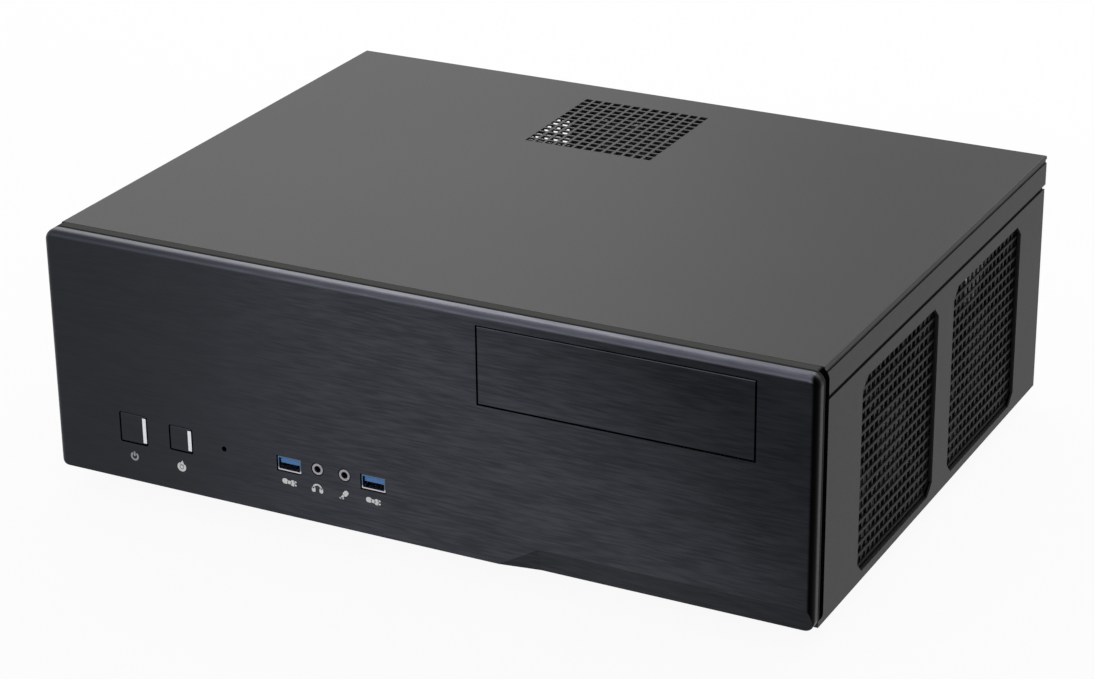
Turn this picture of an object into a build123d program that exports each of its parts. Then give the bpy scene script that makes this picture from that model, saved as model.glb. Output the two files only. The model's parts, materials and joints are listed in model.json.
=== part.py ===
"""Horizontal desktop computer: a steel case behind an aluminium fascia, with its working parts.

The model is laid out in case coordinates and moved into its own frame at the end.
Case coordinates: x = 0 on the middle plane and +X to the right as seen from the front,
y = 0 on the front of the steel case and +Y to the rear, z = 0 under the floor and +Z up.
The fascia lies in front of y = 0 and the feet lie below z = 0. All lengths are millimetres.
"""
from build123d import *
import os
from math import radians, tan

# ---------------------------------------------------------------- case and fascia
CASE_WIDTH = 435.0          # across the steel cover
CASE_HEIGHT = 139.0         # floor to top of the cover, without the feet
CASE_DEPTH = 320.0          # front wall to the back of the cover
SHEET = 1.0                 # steel sheet of every wall
FASCIA_WIDTH = 440.0
FASCIA_HEIGHT = 136.0
FASCIA_DEPTH = 14.0         # from the fascia's face to the front of the case
FASCIA_PLATE = 7.0          # thickness of the aluminium panel
FASCIA_CORNER = 6.0         # corner radius seen from the front
FASCIA_EDGE = 4.2           # rounding of the panel's front edge, at its top and sides
FASCIA_GROOVE = 2.0         # width of the groove between panel and carrier
FASCIA_GROOVE_DEPTH = 2.0
BEVEL_HEIGHT = 13.0         # lower right bevel of the fascia
BEVEL_DEPTH = 3.5
BEVEL_START = 49.0          # where the bevel begins on the bottom edge
BEVEL_FULL = 71.5           # where it reaches its full height
CARRIER_WALL = 3.0          # rim of the carrier, in line with the panel's outline
CARRIER_PLATE = 3.0
SLIDE_CLEARANCE = 0.3       # between sheets or caps that slide past each other
RUN_CLEARANCE = 0.06        # radial, shafts and stems in their bores

# ---------------------------------------------------------------- top cover
COVER_FLANGE = 17.2         # height of the cover's side and rear flanges
COVER_LINE = 2.2            # open line below the side flanges
COVER_BEND = 1.0            # outer radius of the cover's three folds
COVER_GROOVE_TOP = 2.1      # from the top down to the groove along each side flange
COVER_GROOVE = 2.2          # height of that groove
COVER_GROOVE_DEPTH = 0.6
RAIL_WIDTH = 12.0           # folded rail that carries the cover
MESH_PITCH = 6.1            # every punched square mesh
COVER_HOLE = 4.5
COVER_VENT_WIDTH = 79.0
COVER_VENT_DEPTH = 79.0
COVER_VENT_X = -15.9
COVER_VENT_Y = 256.8
THUMB_HEAD = 5.0
THUMB_HEAD_R = 5.0
THUMB_SHANK_R = 1.75
THUMB_SHANK = 7.0
THUMB_SPACING = 150.0
THUMB_RIDGES = 20
THUMB_RIDGE_R = 0.45

# ---------------------------------------------------------------- side vents
VENT_WIDTH = 104.5
VENT_HEIGHT = 107.2
VENT_BOTTOM = 4.7
VENT_CLIP = 6.0             # clipped corners of each window
VENT_FRONT_Y = 102.4        # middles of the two windows
VENT_REAR_Y = 229.2
VENT_HOLE = 5.0
GRILLE_RECESS = 1.2         # mesh behind the inner face of the wall
GRILLE_LAP = 3.5            # grille wider than its window on each side
GRILLE_BAR = 1.7            # width of each bar of the mesh
GRILLE_BAR_DEPTH = 0.8      # thickness of each of its two layers

# ---------------------------------------------------------------- drive bay and its blank cover
BAY_X = 113.65
BAY_Z = 110.85
BAY_COVER_WIDTH = 149.4
BAY_COVER_HEIGHT = 41.7
BAY_COVER_GAP = 0.8
BAY_COVER_PLATE = 2.0
BAY_COVER_CHAMFER = 0.3
BAY_TRAY_DEPTH = 8.0
BAY_TRAY_INSET = 1.0
BAY_TRAY_WALL = 2.0
BAY_TAB_REACH = 9.0
BAY_TAB_HEIGHT = 14.0
BAY_TAB_THICKNESS = 1.6
BAY_INNER_WIDTH = 147.0
BAY_INNER_HEIGHT = 41.5
BAY_DEPTH = 175.0

# ---------------------------------------------------------------- front buttons
BUTTON_Z = 33.6
POWER_X = -170.1
POWER_SIZE = 16.8
RESET_X = -140.2
RESET_SIZE = 14.0
BUTTON_DEPTH = 6.0
BUTTON_TRAVEL = 1.0
BUTTON_CORNER = 0.8
BUTTON_CHAMFER = 0.6
BUTTON_GAP = 0.4            # between each cap and its opening
LIGHT_BAR_WIDTH = 2.1
LIGHT_BAR_EDGE = 0.5        # from the light bar to the right edge of its cap
LIGHT_BAR_MARGIN = 1.2      # from each end of the light bar to the cap's edge
GUIDE_WALL = 1.5
STEM_R = 3.0
STEM_TIP_R = 1.75
STEM_TIP = 3.0
SWITCH_SIZE = 8.0
SWITCH_HEIGHT = 4.0
SWITCH_FLOOR = 0.7
SPRING_R = 4.2
SPRING_WIRE_R = 0.3
SPRING_TURNS = 4
BOARD_THICKNESS = 1.6
BUTTON_BOARD_GAP = 8.0      # from front wall to button board
BUTTON_BOARD_MARGIN = 5.0
BOARD_POST_R = 2.5
LIGHT_PIPE_X = -113.2
LIGHT_PIPE_R = 1.3
LIGHT_PIPE_SINK = 3.0       # how far the light pipe stays behind the fascia's face

# ---------------------------------------------------------------- front ports
USB_LEFT_X = -73.6
USB_RIGHT_X = -23.3
USB_Z = 32.5
USB_LIP_WIDTH = 14.2
USB_LIP_HEIGHT = 8.2
USB_LIP = 0.8
USB_LIP_CORNER = 0.6
USB_LIP_EDGE = 0.3
USB_WIDTH = 13.3
USB_HEIGHT = 7.0
USB_WALL = 0.35
USB_LENGTH = 20.0
USB_SINK = 0.5
TONGUE_WIDTH = 11.6
TONGUE_HEIGHT = 2.7
TONGUE_DROP = 0.5           # from the shell's inner roof to the tongue
TONGUE_SINK = 1.2
JACK_LEFT_X = -56.3
JACK_RIGHT_X = -40.2
JACK_Z = 33.8
JACK_NOSE_R = 3.4
JACK_BORE_R = 1.8
JACK_EDGE = 0.5
JACK_SINK = 0.3
JACK_WIDTH = 11.0
JACK_HEIGHT = 9.6
JACK_LENGTH = 12.0
PORT_GAP = 0.35             # ports in the holes of fascia and front wall
PORT_BOARD_DEPTH = 30.0
PORT_BOARD_MARGIN = 6.0

# ---------------------------------------------------------------- feet
FOOT_HEIGHT = 11.0
FOOT_TOP_R = 20.0
FOOT_LOW_R = 18.0
FOOT_X = 178.0
FOOT_FRONT_Y = 38.0
FOOT_REAR_Y = 282.0
PAD_HEIGHT = 1.5
PAD_R = 15.0
FOOT_SCREW_R = 2.0
FOOT_SCREW_HEAD_R = 4.0
FOOT_SCREW_HEAD = 3.0

# ---------------------------------------------------------------- motherboard and what it carries
BOARD_SIZE = 244.0
BOARD_RIGHT = 185.5
BOARD_REAR_GAP = 1.5
STANDOFF_HEIGHT = 6.35
STANDOFF_R = 2.9
BOARD_HOLE_R = 2.0
BOARD_HOLE_EDGE = 6.5
BOARD_ROW_PITCH = 45.5      # from the front row of holes to the middle row
BOARD_REAR_ROW = 35.8       # from the board's rear edge to the last row
SCREW_HEAD_R = 3.0
SCREW_HEAD = 2.0
SCREW_R = 1.5
SHIELD_WIDTH = 158.75
SHIELD_HEIGHT = 44.45
SHIELD_EDGE = 4.0           # from the board's right edge
SHIELD_DROP = 3.3           # below the board's top face
SHIELD_LIP = 1.5
SHIELD_SHEET = 0.8
PORT_DEPTH = 14.0
PORT_SPACING = 9.0
REAR_PORTS = [("data", 14.0, 30.0), ("video", 16.5, 11.0), ("video", 16.5, 18.0),
              ("data", 14.0, 16.0), ("network", 16.0, 30.0), ("audio", 13.0, 34.0)]
PORT_ROW = {"data": 8.0, "video": 9.0}  # height of one socket in a stack
PORT_WALL = 0.6
PORT_FLOOR = 3.0            # solid front end of every socket
PORT_TONGUE = 2.0
PORT_TONGUE_SINK = 1.5
NETWORK_SOCKET = 12.0       # height of the network socket at the top of its stack
AUDIO_COUNT = 3
AUDIO_FLOOR = 2.0
SLOT_PITCH = 20.32
SLOT_COUNT = 4
SLOT_FIRST_GAP = 11.2       # from the shield opening to the first slot's middle
SLOT_OPENING_WIDTH = 13.0
SLOT_COVER_WIDTH = 18.4
SLOT_COVER_HEIGHT = 116.0
SLOT_COVER_BOTTOM = 6.0
SLOT_RAIL = 11.0
SLOT_LAP = 5.0
CONNECTOR_WIDTH = 8.5
CONNECTOR_HEIGHT = 11.0
CONNECTOR_LENGTH = 89.0
CONNECTOR_REAR_GAP = 48.0
CARD_GROOVE = 1.8
CARD_GROOVE_DEPTH = 8.0
CARD_GROOVE_END = 2.0
MEMORY_LENGTH = 133.35
MEMORY_HEIGHT = 31.0
MEMORY_THICKNESS = 1.4
MEMORY_SLOT_WIDTH = 6.5
MEMORY_SLOT_HEIGHT = 9.0
MEMORY_SLOT_LENGTH = 140.0
MEMORY_SEAT = 5.0
MEMORY_PITCH = 9.5
MEMORY_COUNT = 4
MEMORY_LATCH = 3.0
MEMORY_LATCH_RISE = 6.0
MEMORY_CHIPS = 8
CHIP_THICKNESS = 1.0
CHIP_HEIGHT = 14.0
CHIP_TOP_GAP = 6.0
MEMORY_X = 111.0
MEMORY_Y = 152.0
COOLER_X = 100.0
COOLER_Y = 238.0
COOLER_SIZE = 92.0
SOCKET_SIZE = 45.0
SOCKET_HEIGHT = 4.0
COOLER_BASE = 6.0
FIN_HEIGHT = 30.0
FIN_THICKNESS = 1.2
FIN_COUNT = 17

# ---------------------------------------------------------------- fans
CASE_FAN = 120.0
FAN_DEPTH = 25.0
FAN_RIM = 3.0
FAN_CORNER = 6.0
FAN_SCREW_R = 2.15
FAN_SCREW_EDGE = 7.5
FAN_HUB_R = 20.0
FAN_HUB_WALL = 1.5
FAN_STRUT = 3.0
FAN_STRUT_WIDTH = 5.0
FAN_TUBE_R = 4.0
FAN_SHAFT_R = 1.5
FAN_TIP_GAP = 1.0
FAN_AXIAL_GAP = 0.5
FAN_BLADES = 7
BLADE_CHORD = 26.0
BLADE_THICKNESS = 1.6
BLADE_PITCH = 35.0
FAN_TUBE_LENGTH = 16.0
FAN_FLOOR_GAP = 0.3

# ---------------------------------------------------------------- power supply
SUPPLY_WIDTH = 150.0
SUPPLY_HEIGHT = 86.0
SUPPLY_DEPTH = 140.0
SUPPLY_SIDE_GAP = 0.5
SUPPLY_FAN_GAP = 1.0        # from the casing's front wall to its fan
SUPPLY_CUT_INSET = 4.0
SUPPLY_CUT_CLIP = 14.0
SUPPLY_VENT_EDGE = 10.0
GUARD_WIRE_R = 0.9
GUARD_RINGS = 5
GUARD_REACH = 75.0          # from the fan's middle to the ends of the guard's bars
INLET_X = -186.0
INLET_Z = 66.0
INLET_WIDTH = 27.0
INLET_HEIGHT = 20.0
INLET_FLANGE = 2.0
INLET_FLANGE_DEPTH = 1.2
INLET_DEPTH = 16.0
INLET_WALL = 1.5
INLET_RECESS = 13.5
PIN_WIDTH = 2.0
PIN_HEIGHT = 4.0
PIN_LENGTH = 11.0
PIN_SIDE = 7.0
PIN_RISE = 4.0
ROCKER_X = -160.0
ROCKER_WIDTH = 10.0
ROCKER_R = 8.0
ROCKER_FRAME = 2.5
ROCKER_PIVOT_R = 1.2
ROCKER_PIVOT = 1.2
ROCKER_PIVOT_DEPTH = 3.0    # pivot behind the power supply's rear face
ROCKER_TILT = 10.0
ROCKER_FRAME_DEPTH = 8.0

# ---------------------------------------------------------------- drives and brace
BRACE_DEPTH = 14.0
BRACE_HEIGHT = 10.0
HARD_DRIVE_WIDTH = 101.6
HARD_DRIVE_LENGTH = 147.0
HARD_DRIVE_HEIGHT = 26.1
HARD_DRIVE_X = -148.0
HARD_DRIVE_Y = 95.0
HARD_DRIVE_LIFT = 6.0
HARD_DRIVE_GAP = 0.3
HARD_DRIVE_CORNER = 3.0
HARD_DRIVE_LID = 1.0
HARD_DRIVE_LID_INSET = 4.0
BRACKET_FOOT = 12.0

# ---------------------------------------------------------------- places worked out from the sizes
HALF = CASE_WIDTH / 2
INNER = HALF - SHEET                                  # inner face of the side walls
STEP = HALF - SHEET - SLIDE_CLEARANCE                 # outer face of the walls under the cover
COVER_LOW = CASE_HEIGHT - COVER_FLANGE
STEP_TOP = COVER_LOW - COVER_LINE
RAIL_TOP = CASE_HEIGHT - SHEET - SLIDE_CLEARANCE
RAIL_LOW = RAIL_TOP - SHEET
REAR_OUT = CASE_DEPTH - SHEET - SLIDE_CLEARANCE       # outer face of the rear wall
REAR_IN = REAR_OUT - SHEET
FASCIA_FRONT = -FASCIA_DEPTH
PLATE_BACK = FASCIA_FRONT + FASCIA_PLATE
FASCIA_LOW = CASE_HEIGHT - FASCIA_HEIGHT
FASCIA_MIDDLE = (FASCIA_LOW + CASE_HEIGHT) / 2
CARRIER_PLATE_FRONT = -CARRIER_PLATE
GRILLE_OUT = INNER - GRILLE_RECESS                    # outer face of the recessed mesh
GRILLE_MID = GRILLE_OUT - GRILLE_BAR_DEPTH             # between its two layers of bars
GRILLE_IN = GRILLE_MID - GRILLE_BAR_DEPTH
VENT_Z = VENT_BOTTOM + VENT_HEIGHT / 2
BOARD_BOTTOM = SHEET + STANDOFF_HEIGHT
BOARD_TOP = BOARD_BOTTOM + BOARD_THICKNESS
BOARD_LEFT = BOARD_RIGHT - BOARD_SIZE
BOARD_REAR = REAR_IN - BOARD_REAR_GAP
BOARD_FRONT = BOARD_REAR - BOARD_SIZE
SHIELD_RIGHT = BOARD_RIGHT - SHIELD_EDGE
SHIELD_LEFT = SHIELD_RIGHT - SHIELD_WIDTH
SHIELD_BOTTOM = BOARD_TOP - SHIELD_DROP
SHIELD_TOP = SHIELD_BOTTOM + SHIELD_HEIGHT
SLOT_X = [SHIELD_LEFT - SLOT_FIRST_GAP - SLOT_PITCH * i for i in range(SLOT_COUNT)]
SLOT_COVER_TOP = SLOT_COVER_BOTTOM + SLOT_COVER_HEIGHT
FAN_Z = SHEET + FAN_FLOOR_GAP + CASE_FAN / 2
SUPPLY_LEFT = -INNER + SUPPLY_SIDE_GAP
SUPPLY_RIGHT = SUPPLY_LEFT + SUPPLY_WIDTH
SUPPLY_FRONT = REAR_IN - SUPPLY_DEPTH
SUPPLY_TOP = SHEET + SUPPLY_HEIGHT
SUPPLY_X = (SUPPLY_LEFT + SUPPLY_RIGHT) / 2
SUPPLY_FAN_Y = SUPPLY_FRONT + SHEET + SUPPLY_FAN_GAP + CASE_FAN / 2
CAGE_LOW = BAY_Z - BAY_INNER_HEIGHT / 2 - SHEET
CAGE_REAR = SHEET + BAY_DEPTH
BUTTON_BOARD_Y = SHEET + BUTTON_BOARD_GAP
SWITCH_FRONT = BUTTON_BOARD_Y - SWITCH_HEIGHT
BUTTON_BACK = FASCIA_FRONT + BUTTON_DEPTH
PORT_BOARD_TOP = USB_Z - USB_HEIGHT / 2
THUMB_Z = COVER_LOW + COVER_FLANGE / 2
THUMB_X = [-THUMB_SPACING, 0.0, THUMB_SPACING]
FOOT_PLACES = [(x, y) for x in (-FOOT_X, FOOT_X) for y in (FOOT_FRONT_Y, FOOT_REAR_Y)]
OVERALL_DEPTH = FASCIA_DEPTH + CASE_DEPTH + THUMB_HEAD
# The part's own frame has its origin under the middle of the whole object, at the feet.
PLACE = Pos(0, OVERALL_DEPTH / 2 - CASE_DEPTH - THUMB_HEAD, FOOT_HEIGHT)


# ---------------------------------------------------------------- helpers
def block(x0, x1, y0, y1, z0, z1):
    """Rectangular solid between two opposite corners."""
    return Pos((x0 + x1) / 2, (y0 + y1) / 2, (z0 + z1) / 2) * Box(x1 - x0, y1 - y0, z1 - z0)


def rect(x0, x1, y0, y1):
    """Rectangle between two opposite corners of a sketch."""
    return Pos((x0 + x1) / 2, (y0 + y1) / 2) * Rectangle(x1 - x0, y1 - y0)


def front_plate(sketch, y0, y1):
    """Plate parallel to the front: the sketch's axes are +X and +Z."""
    plane = Plane((0, y1, 0), x_dir=(1, 0, 0), z_dir=(0, -1, 0))
    return extrude(plane * sketch, amount=y1 - y0)


def side_plate(sketch, x0, x1):
    """Plate parallel to the sides: the sketch's axes are +Y and +Z."""
    plane = Plane((x0, 0, 0), x_dir=(0, 1, 0), z_dir=(1, 0, 0))
    return extrude(plane * sketch, amount=x1 - x0)


def flat_plate(sketch, z0, z1):
    """Level plate: the sketch's axes are +X and +Y."""
    return extrude(Plane.XY.offset(z0) * sketch, amount=z1 - z0)


def rod_y(x, z, y0, y1, radius):
    """Round bar along Y."""
    return front_plate(Pos(x, z) * Circle(radius), y0, y1)


def hole_grid(x0, x1, y0, y1, hole):
    """Square holes at the mesh pitch, centred in a rectangle and no wider than it."""
    columns = int((x1 - x0 - hole) // MESH_PITCH) + 1
    rows = int((y1 - y0 - hole) // MESH_PITCH) + 1
    middle = Pos((x0 + x1) / 2, (y0 + y1) / 2)
    return [middle * spot * Rectangle(hole, hole)
            for spot in GridLocations(MESH_PITCH, MESH_PITCH, columns, rows)]


def clipped(width, height, clip):
    """Rectangle with its four corners cut off."""
    return chamfer(Rectangle(width, height).vertices(), clip)


def save(name, *solids):
    """Move solids from case coordinates into the part's frame and write them as one node."""
    moved = [PLACE * solid for shape in solids for solid in shape.solids()]
    export_step(moved[0] if len(moved) == 1 else Compound(children=moved), f"parts/{name}.step")


# ---------------------------------------------------------------- front
def port_cuts(lip):
    """Sketch of the holes for the front ports, each wider than its port by the port gap."""
    cuts = [Pos(x, USB_Z) * Rectangle(USB_LIP_WIDTH + 2 * lip, USB_LIP_HEIGHT + 2 * lip)
            for x in (USB_LEFT_X, USB_RIGHT_X)]
    cuts += [Pos(x, JACK_Z) * Circle(JACK_NOSE_R + lip) for x in (JACK_LEFT_X, JACK_RIGHT_X)]
    cuts.append(Pos(LIGHT_PIPE_X, BUTTON_Z) * Circle(LIGHT_PIPE_R + lip / 2))
    return cuts


def button_square(x, size, grow=0.0):
    """Rounded square of a button, or of the opening around it."""
    corner = BUTTON_CORNER + grow
    return Pos(x, BUTTON_Z) * RectangleRounded(size + 2 * grow, size + 2 * grow, corner)


def bay_rect(width, height):
    """Rectangle centred on the drive bay."""
    return Pos(BAY_X, BAY_Z) * Rectangle(width, height)


def bevel_cutter():
    """What the lower right bevel takes off the fascia: a long wedge that tapers out at its left."""
    reach = FASCIA_DEPTH
    top = FASCIA_LOW + BEVEL_HEIGHT
    along = Vector(1, 0, 0)
    slope = Vector(0, BEVEL_DEPTH, -BEVEL_HEIGHT)
    start = Vector(BEVEL_FULL, FASCIA_FRONT, top)
    long_plane = Plane(start, x_dir=along, z_dir=along.cross(slope))
    taper = Vector(BEVEL_START - BEVEL_FULL, 0, -BEVEL_HEIGHT)
    taper_plane = Plane(start, x_dir=taper, z_dir=slope.cross(taper))
    low = FASCIA_LOW - reach
    front = FASCIA_FRONT - reach
    long_box = block(BEVEL_FULL, FASCIA_WIDTH, front, PLATE_BACK, low, top + reach)
    taper_box = block(BEVEL_START - reach, BEVEL_FULL, front, PLATE_BACK, low, top + reach)
    cutters = []
    for box, plane in ((long_box, long_plane), (taper_box, taper_plane)):
        outside = Keep.TOP if plane.z_dir.Y < 0 else Keep.BOTTOM
        cutters.append(split(box, bisect_by=plane, keep=outside))
    return cutters


def fascia_outline(inset=0.0, drop=0.0):
    """Outline shared by the panel and its carrier, moved inwards or carried on downwards."""
    return Pos(0, FASCIA_MIDDLE - drop / 2) * RectangleRounded(
        FASCIA_WIDTH - 2 * inset, FASCIA_HEIGHT + drop - 2 * inset, FASCIA_CORNER - inset)


def make_fascia():
    """Aluminium panel: top and sides rounded at the front, square below, bevelled at lower right."""
    long_body = front_plate(fascia_outline(0, 2 * FASCIA_CORNER), FASCIA_FRONT, PLATE_BACK)
    long_body = fillet(long_body.faces().sort_by(Axis.Y)[0].edges(), FASCIA_EDGE)
    body = long_body & front_plate(fascia_outline(), FASCIA_FRONT, PLATE_BACK)
    cuts = [bay_rect(BAY_COVER_WIDTH + 2 * BAY_COVER_GAP, BAY_COVER_HEIGHT + 2 * BAY_COVER_GAP)]
    cuts += [button_square(POWER_X, POWER_SIZE, BUTTON_GAP)]
    cuts += [button_square(RESET_X, RESET_SIZE, BUTTON_GAP)]
    cuts += port_cuts(PORT_GAP)
    for cut in cuts:
        body -= front_plate(cut, FASCIA_FRONT, PLATE_BACK)
    for cutter in bevel_cutter():
        body -= cutter
    return body


def make_carrier():
    """Plastic carrier behind the panel: a grooved rim, a back plate and the button guides."""
    body = front_plate(fascia_outline(), PLATE_BACK, 0)
    body -= front_plate(fascia_outline(CARRIER_WALL), PLATE_BACK, CARRIER_PLATE_FRONT)
    groove = fascia_outline() - fascia_outline(FASCIA_GROOVE_DEPTH)
    body -= front_plate(groove, PLATE_BACK, PLATE_BACK + FASCIA_GROOVE)
    cuts = [bay_rect(BAY_COVER_WIDTH + 2 * BAY_COVER_GAP, BAY_COVER_HEIGHT + 2 * BAY_COVER_GAP)]
    cuts += port_cuts(PORT_GAP)
    cuts += [Pos(x, BUTTON_Z) * Circle(STEM_R + RUN_CLEARANCE) for x in (POWER_X, RESET_X)]
    for cut in cuts:
        body -= front_plate(cut, CARRIER_PLATE_FRONT, 0)
    for x, size in ((POWER_X, POWER_SIZE), (RESET_X, RESET_SIZE)):
        guide = button_square(x, size, BUTTON_GAP + GUIDE_WALL)
        guide -= button_square(x, size, BUTTON_GAP)
        body += front_plate(guide, PLATE_BACK, CARRIER_PLATE_FRONT)
    return body


def make_bay_cover():
    """Blank cover of the drive bay: aluminium plate on a plastic tray with two side tabs."""
    plate_back = FASCIA_FRONT + BAY_COVER_PLATE
    tray_back = plate_back + BAY_TRAY_DEPTH
    plate = front_plate(bay_rect(BAY_COVER_WIDTH, BAY_COVER_HEIGHT), FASCIA_FRONT, plate_back)
    plate = chamfer(plate.faces().sort_by(Axis.Y)[0].edges(), BAY_COVER_CHAMFER)
    width = BAY_COVER_WIDTH - 2 * BAY_TRAY_INSET
    height = BAY_COVER_HEIGHT - 2 * BAY_TRAY_INSET
    tray = front_plate(bay_rect(width, height), plate_back, tray_back)
    inner = bay_rect(width - 2 * BAY_TRAY_WALL, height - 2 * BAY_TRAY_WALL)
    tray -= front_plate(inner, plate_back + BAY_TRAY_WALL, tray_back)
    reach = BAY_INNER_WIDTH / 2 - SLIDE_CLEARANCE
    for side in (-1, 1):
        edges = sorted((BAY_X + side * reach, BAY_X + side * (reach - BAY_TAB_THICKNESS)))
        low, high = BAY_Z - BAY_TAB_HEIGHT / 2, BAY_Z + BAY_TAB_HEIGHT / 2
        tray += block(*edges, plate_back + BAY_TRAY_WALL, BAY_TAB_REACH, low, high)
    return plate, tray


def make_button(x, size):
    """Button cap with its stem, and the light bar let into the cap beside its right edge."""
    cap = front_plate(button_square(x, size), FASCIA_FRONT, BUTTON_BACK)
    cap = chamfer(cap.faces().sort_by(Axis.Y)[0].edges(), BUTTON_CHAMFER)
    right = x + size / 2 - LIGHT_BAR_EDGE
    half = size / 2 - LIGHT_BAR_MARGIN
    bar = block(right - LIGHT_BAR_WIDTH, right, FASCIA_FRONT, BUTTON_BACK,
                BUTTON_Z - half, BUTTON_Z + half)
    cap -= bar
    tip = SWITCH_FRONT - BUTTON_TRAVEL
    cap += rod_y(x, BUTTON_Z, BUTTON_BACK, tip, STEM_R)
    cap += rod_y(x, BUTTON_Z, tip, tip + STEM_TIP, STEM_TIP_R)
    return cap, bar


def make_spring(x):
    """Return spring around a button's stem, from the cap to the carrier."""
    height = CARRIER_PLATE_FRONT - BUTTON_BACK - 2 * SPRING_WIRE_R
    path = Helix(height / SPRING_TURNS, height, SPRING_R)
    section = Plane(path @ 0, z_dir=path % 0) * Circle(SPRING_WIRE_R)
    coil = sweep(section, path, is_frenet=True)
    return Pos(x, CARRIER_PLATE_FRONT - SPRING_WIRE_R, BUTTON_Z) * Rot(90, 0, 0) * coil


def make_switch(x):
    """Small push switch on the button board, bored for the button's tip."""
    low, high = BUTTON_Z - SWITCH_SIZE / 2, BUTTON_Z + SWITCH_SIZE / 2
    body = block(x - SWITCH_SIZE / 2, x + SWITCH_SIZE / 2, SWITCH_FRONT, BUTTON_BOARD_Y, low, high)
    depth = BUTTON_BOARD_Y - SWITCH_FLOOR
    return body - rod_y(x, BUTTON_Z, SWITCH_FRONT, depth, STEM_TIP_R + RUN_CLEARANCE)


def make_button_board():
    """Upright board that carries both switches, on two posts from the front wall."""
    left = POWER_X - SWITCH_SIZE / 2 - BUTTON_BOARD_MARGIN
    right = LIGHT_PIPE_X + BUTTON_BOARD_MARGIN
    low = BUTTON_Z - SWITCH_SIZE / 2 - BUTTON_BOARD_MARGIN
    high = BUTTON_Z + SWITCH_SIZE / 2 + BUTTON_BOARD_MARGIN
    board = block(left, right, BUTTON_BOARD_Y, BUTTON_BOARD_Y + BOARD_THICKNESS, low, high)
    posts = [rod_y(x, BUTTON_Z, SHEET, BUTTON_BOARD_Y, BOARD_POST_R)
             for x in ((POWER_X + RESET_X) / 2, (RESET_X + LIGHT_PIPE_X) / 2)]
    return board, *posts


def make_usb(x):
    """Front data port: lipped metal shell, and the plastic tongue inside it."""
    front = FASCIA_FRONT + USB_SINK
    back = front + USB_LENGTH
    spot = Pos(x, USB_Z)
    lip = spot * RectangleRounded(USB_LIP_WIDTH, USB_LIP_HEIGHT, USB_LIP_CORNER)
    shell = front_plate(lip, front, front + USB_LIP)
    shell = fillet(shell.faces().sort_by(Axis.Y)[0].edges(), USB_LIP_EDGE)
    shell += front_plate(spot * Rectangle(USB_WIDTH, USB_HEIGHT), front, back)
    inner_width, inner_height = USB_WIDTH - 2 * USB_WALL, USB_HEIGHT - 2 * USB_WALL
    shell -= front_plate(spot * Rectangle(inner_width, inner_height), front, back - USB_WALL)
    roof = USB_Z + inner_height / 2 - TONGUE_DROP
    tongue = block(x - TONGUE_WIDTH / 2, x + TONGUE_WIDTH / 2, front + TONGUE_SINK, back - USB_WALL,
                   roof - TONGUE_HEIGHT, roof)
    return shell, tongue


def make_jack(x):
    """Audio jack: round nose through the fascia, square body behind the front wall."""
    nose_front = FASCIA_FRONT + JACK_SINK
    body_low = PORT_BOARD_TOP
    body = block(x - JACK_WIDTH / 2, x + JACK_WIDTH / 2, SHEET, SHEET + JACK_LENGTH,
                 body_low, body_low + JACK_HEIGHT)
    nose = rod_y(x, JACK_Z, nose_front, SHEET, JACK_NOSE_R)
    body += fillet(nose.faces().sort_by(Axis.Y)[0].edges(), JACK_EDGE)
    return body - rod_y(x, JACK_Z, nose_front, JACK_LENGTH, JACK_BORE_R)


def make_light_pipe():
    """Clear rod that brings the activity light from the button board to the fascia."""
    return rod_y(LIGHT_PIPE_X, BUTTON_Z, FASCIA_FRONT + LIGHT_PIPE_SINK, BUTTON_BOARD_Y, LIGHT_PIPE_R)


def make_port_board():
    """Level board under the front ports, with its front edge against the front wall."""
    left = USB_LEFT_X - USB_WIDTH / 2 - PORT_BOARD_MARGIN
    right = USB_RIGHT_X + USB_WIDTH / 2 + PORT_BOARD_MARGIN
    return block(left, right, SHEET, SHEET + PORT_BOARD_DEPTH,
                 PORT_BOARD_TOP - BOARD_THICKNESS, PORT_BOARD_TOP)


# ---------------------------------------------------------------- steel case
def end_outline():
    """Outline of the front and rear walls: narrower where the cover's flanges pass."""
    return rect(-HALF, HALF, 0, STEP_TOP) + rect(-STEP, STEP, STEP_TOP, RAIL_TOP)


def make_front_wall():
    """Front wall with the drive bay's opening and a hole for every front port and stem."""
    cuts = [bay_rect(BAY_INNER_WIDTH, BAY_INNER_HEIGHT)]
    cuts += [Pos(x, BUTTON_Z) * Circle(STEM_R + 2 * SLIDE_CLEARANCE) for x in (POWER_X, RESET_X)]
    cuts += [Pos(x, USB_Z) * Rectangle(USB_WIDTH + 2 * PORT_GAP, USB_HEIGHT + 2 * PORT_GAP)
             for x in (USB_LEFT_X, USB_RIGHT_X)]
    cuts += [Pos(x, JACK_Z) * Circle(JACK_NOSE_R + PORT_GAP) for x in (JACK_LEFT_X, JACK_RIGHT_X)]
    cuts.append(Pos(LIGHT_PIPE_X, BUTTON_Z) * Circle(LIGHT_PIPE_R + PORT_GAP))
    return front_plate(end_outline() - cuts, 0, SHEET)


def make_side_wall(side, windows):
    """Side wall with its stepped top, folded rail and clipped vent windows."""
    cuts = [Pos(y, VENT_Z) * clipped(VENT_WIDTH, VENT_HEIGHT, VENT_CLIP) for y in windows]
    sketch = rect(SHEET, REAR_IN, 0, STEP_TOP)
    if cuts:
        sketch -= cuts
    wall = side_plate(sketch, INNER, HALF)
    wall += block(STEP - SHEET, HALF, SHEET, REAR_IN, STEP_TOP - SHEET, STEP_TOP)
    wall += block(STEP - SHEET, STEP, SHEET, REAR_IN, STEP_TOP - SHEET, RAIL_TOP)
    wall += block(STEP - RAIL_WIDTH, STEP, SHEET, REAR_IN, RAIL_LOW, RAIL_TOP)
    return wall if side > 0 else mirror(wall, about=Plane.YZ)


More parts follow.
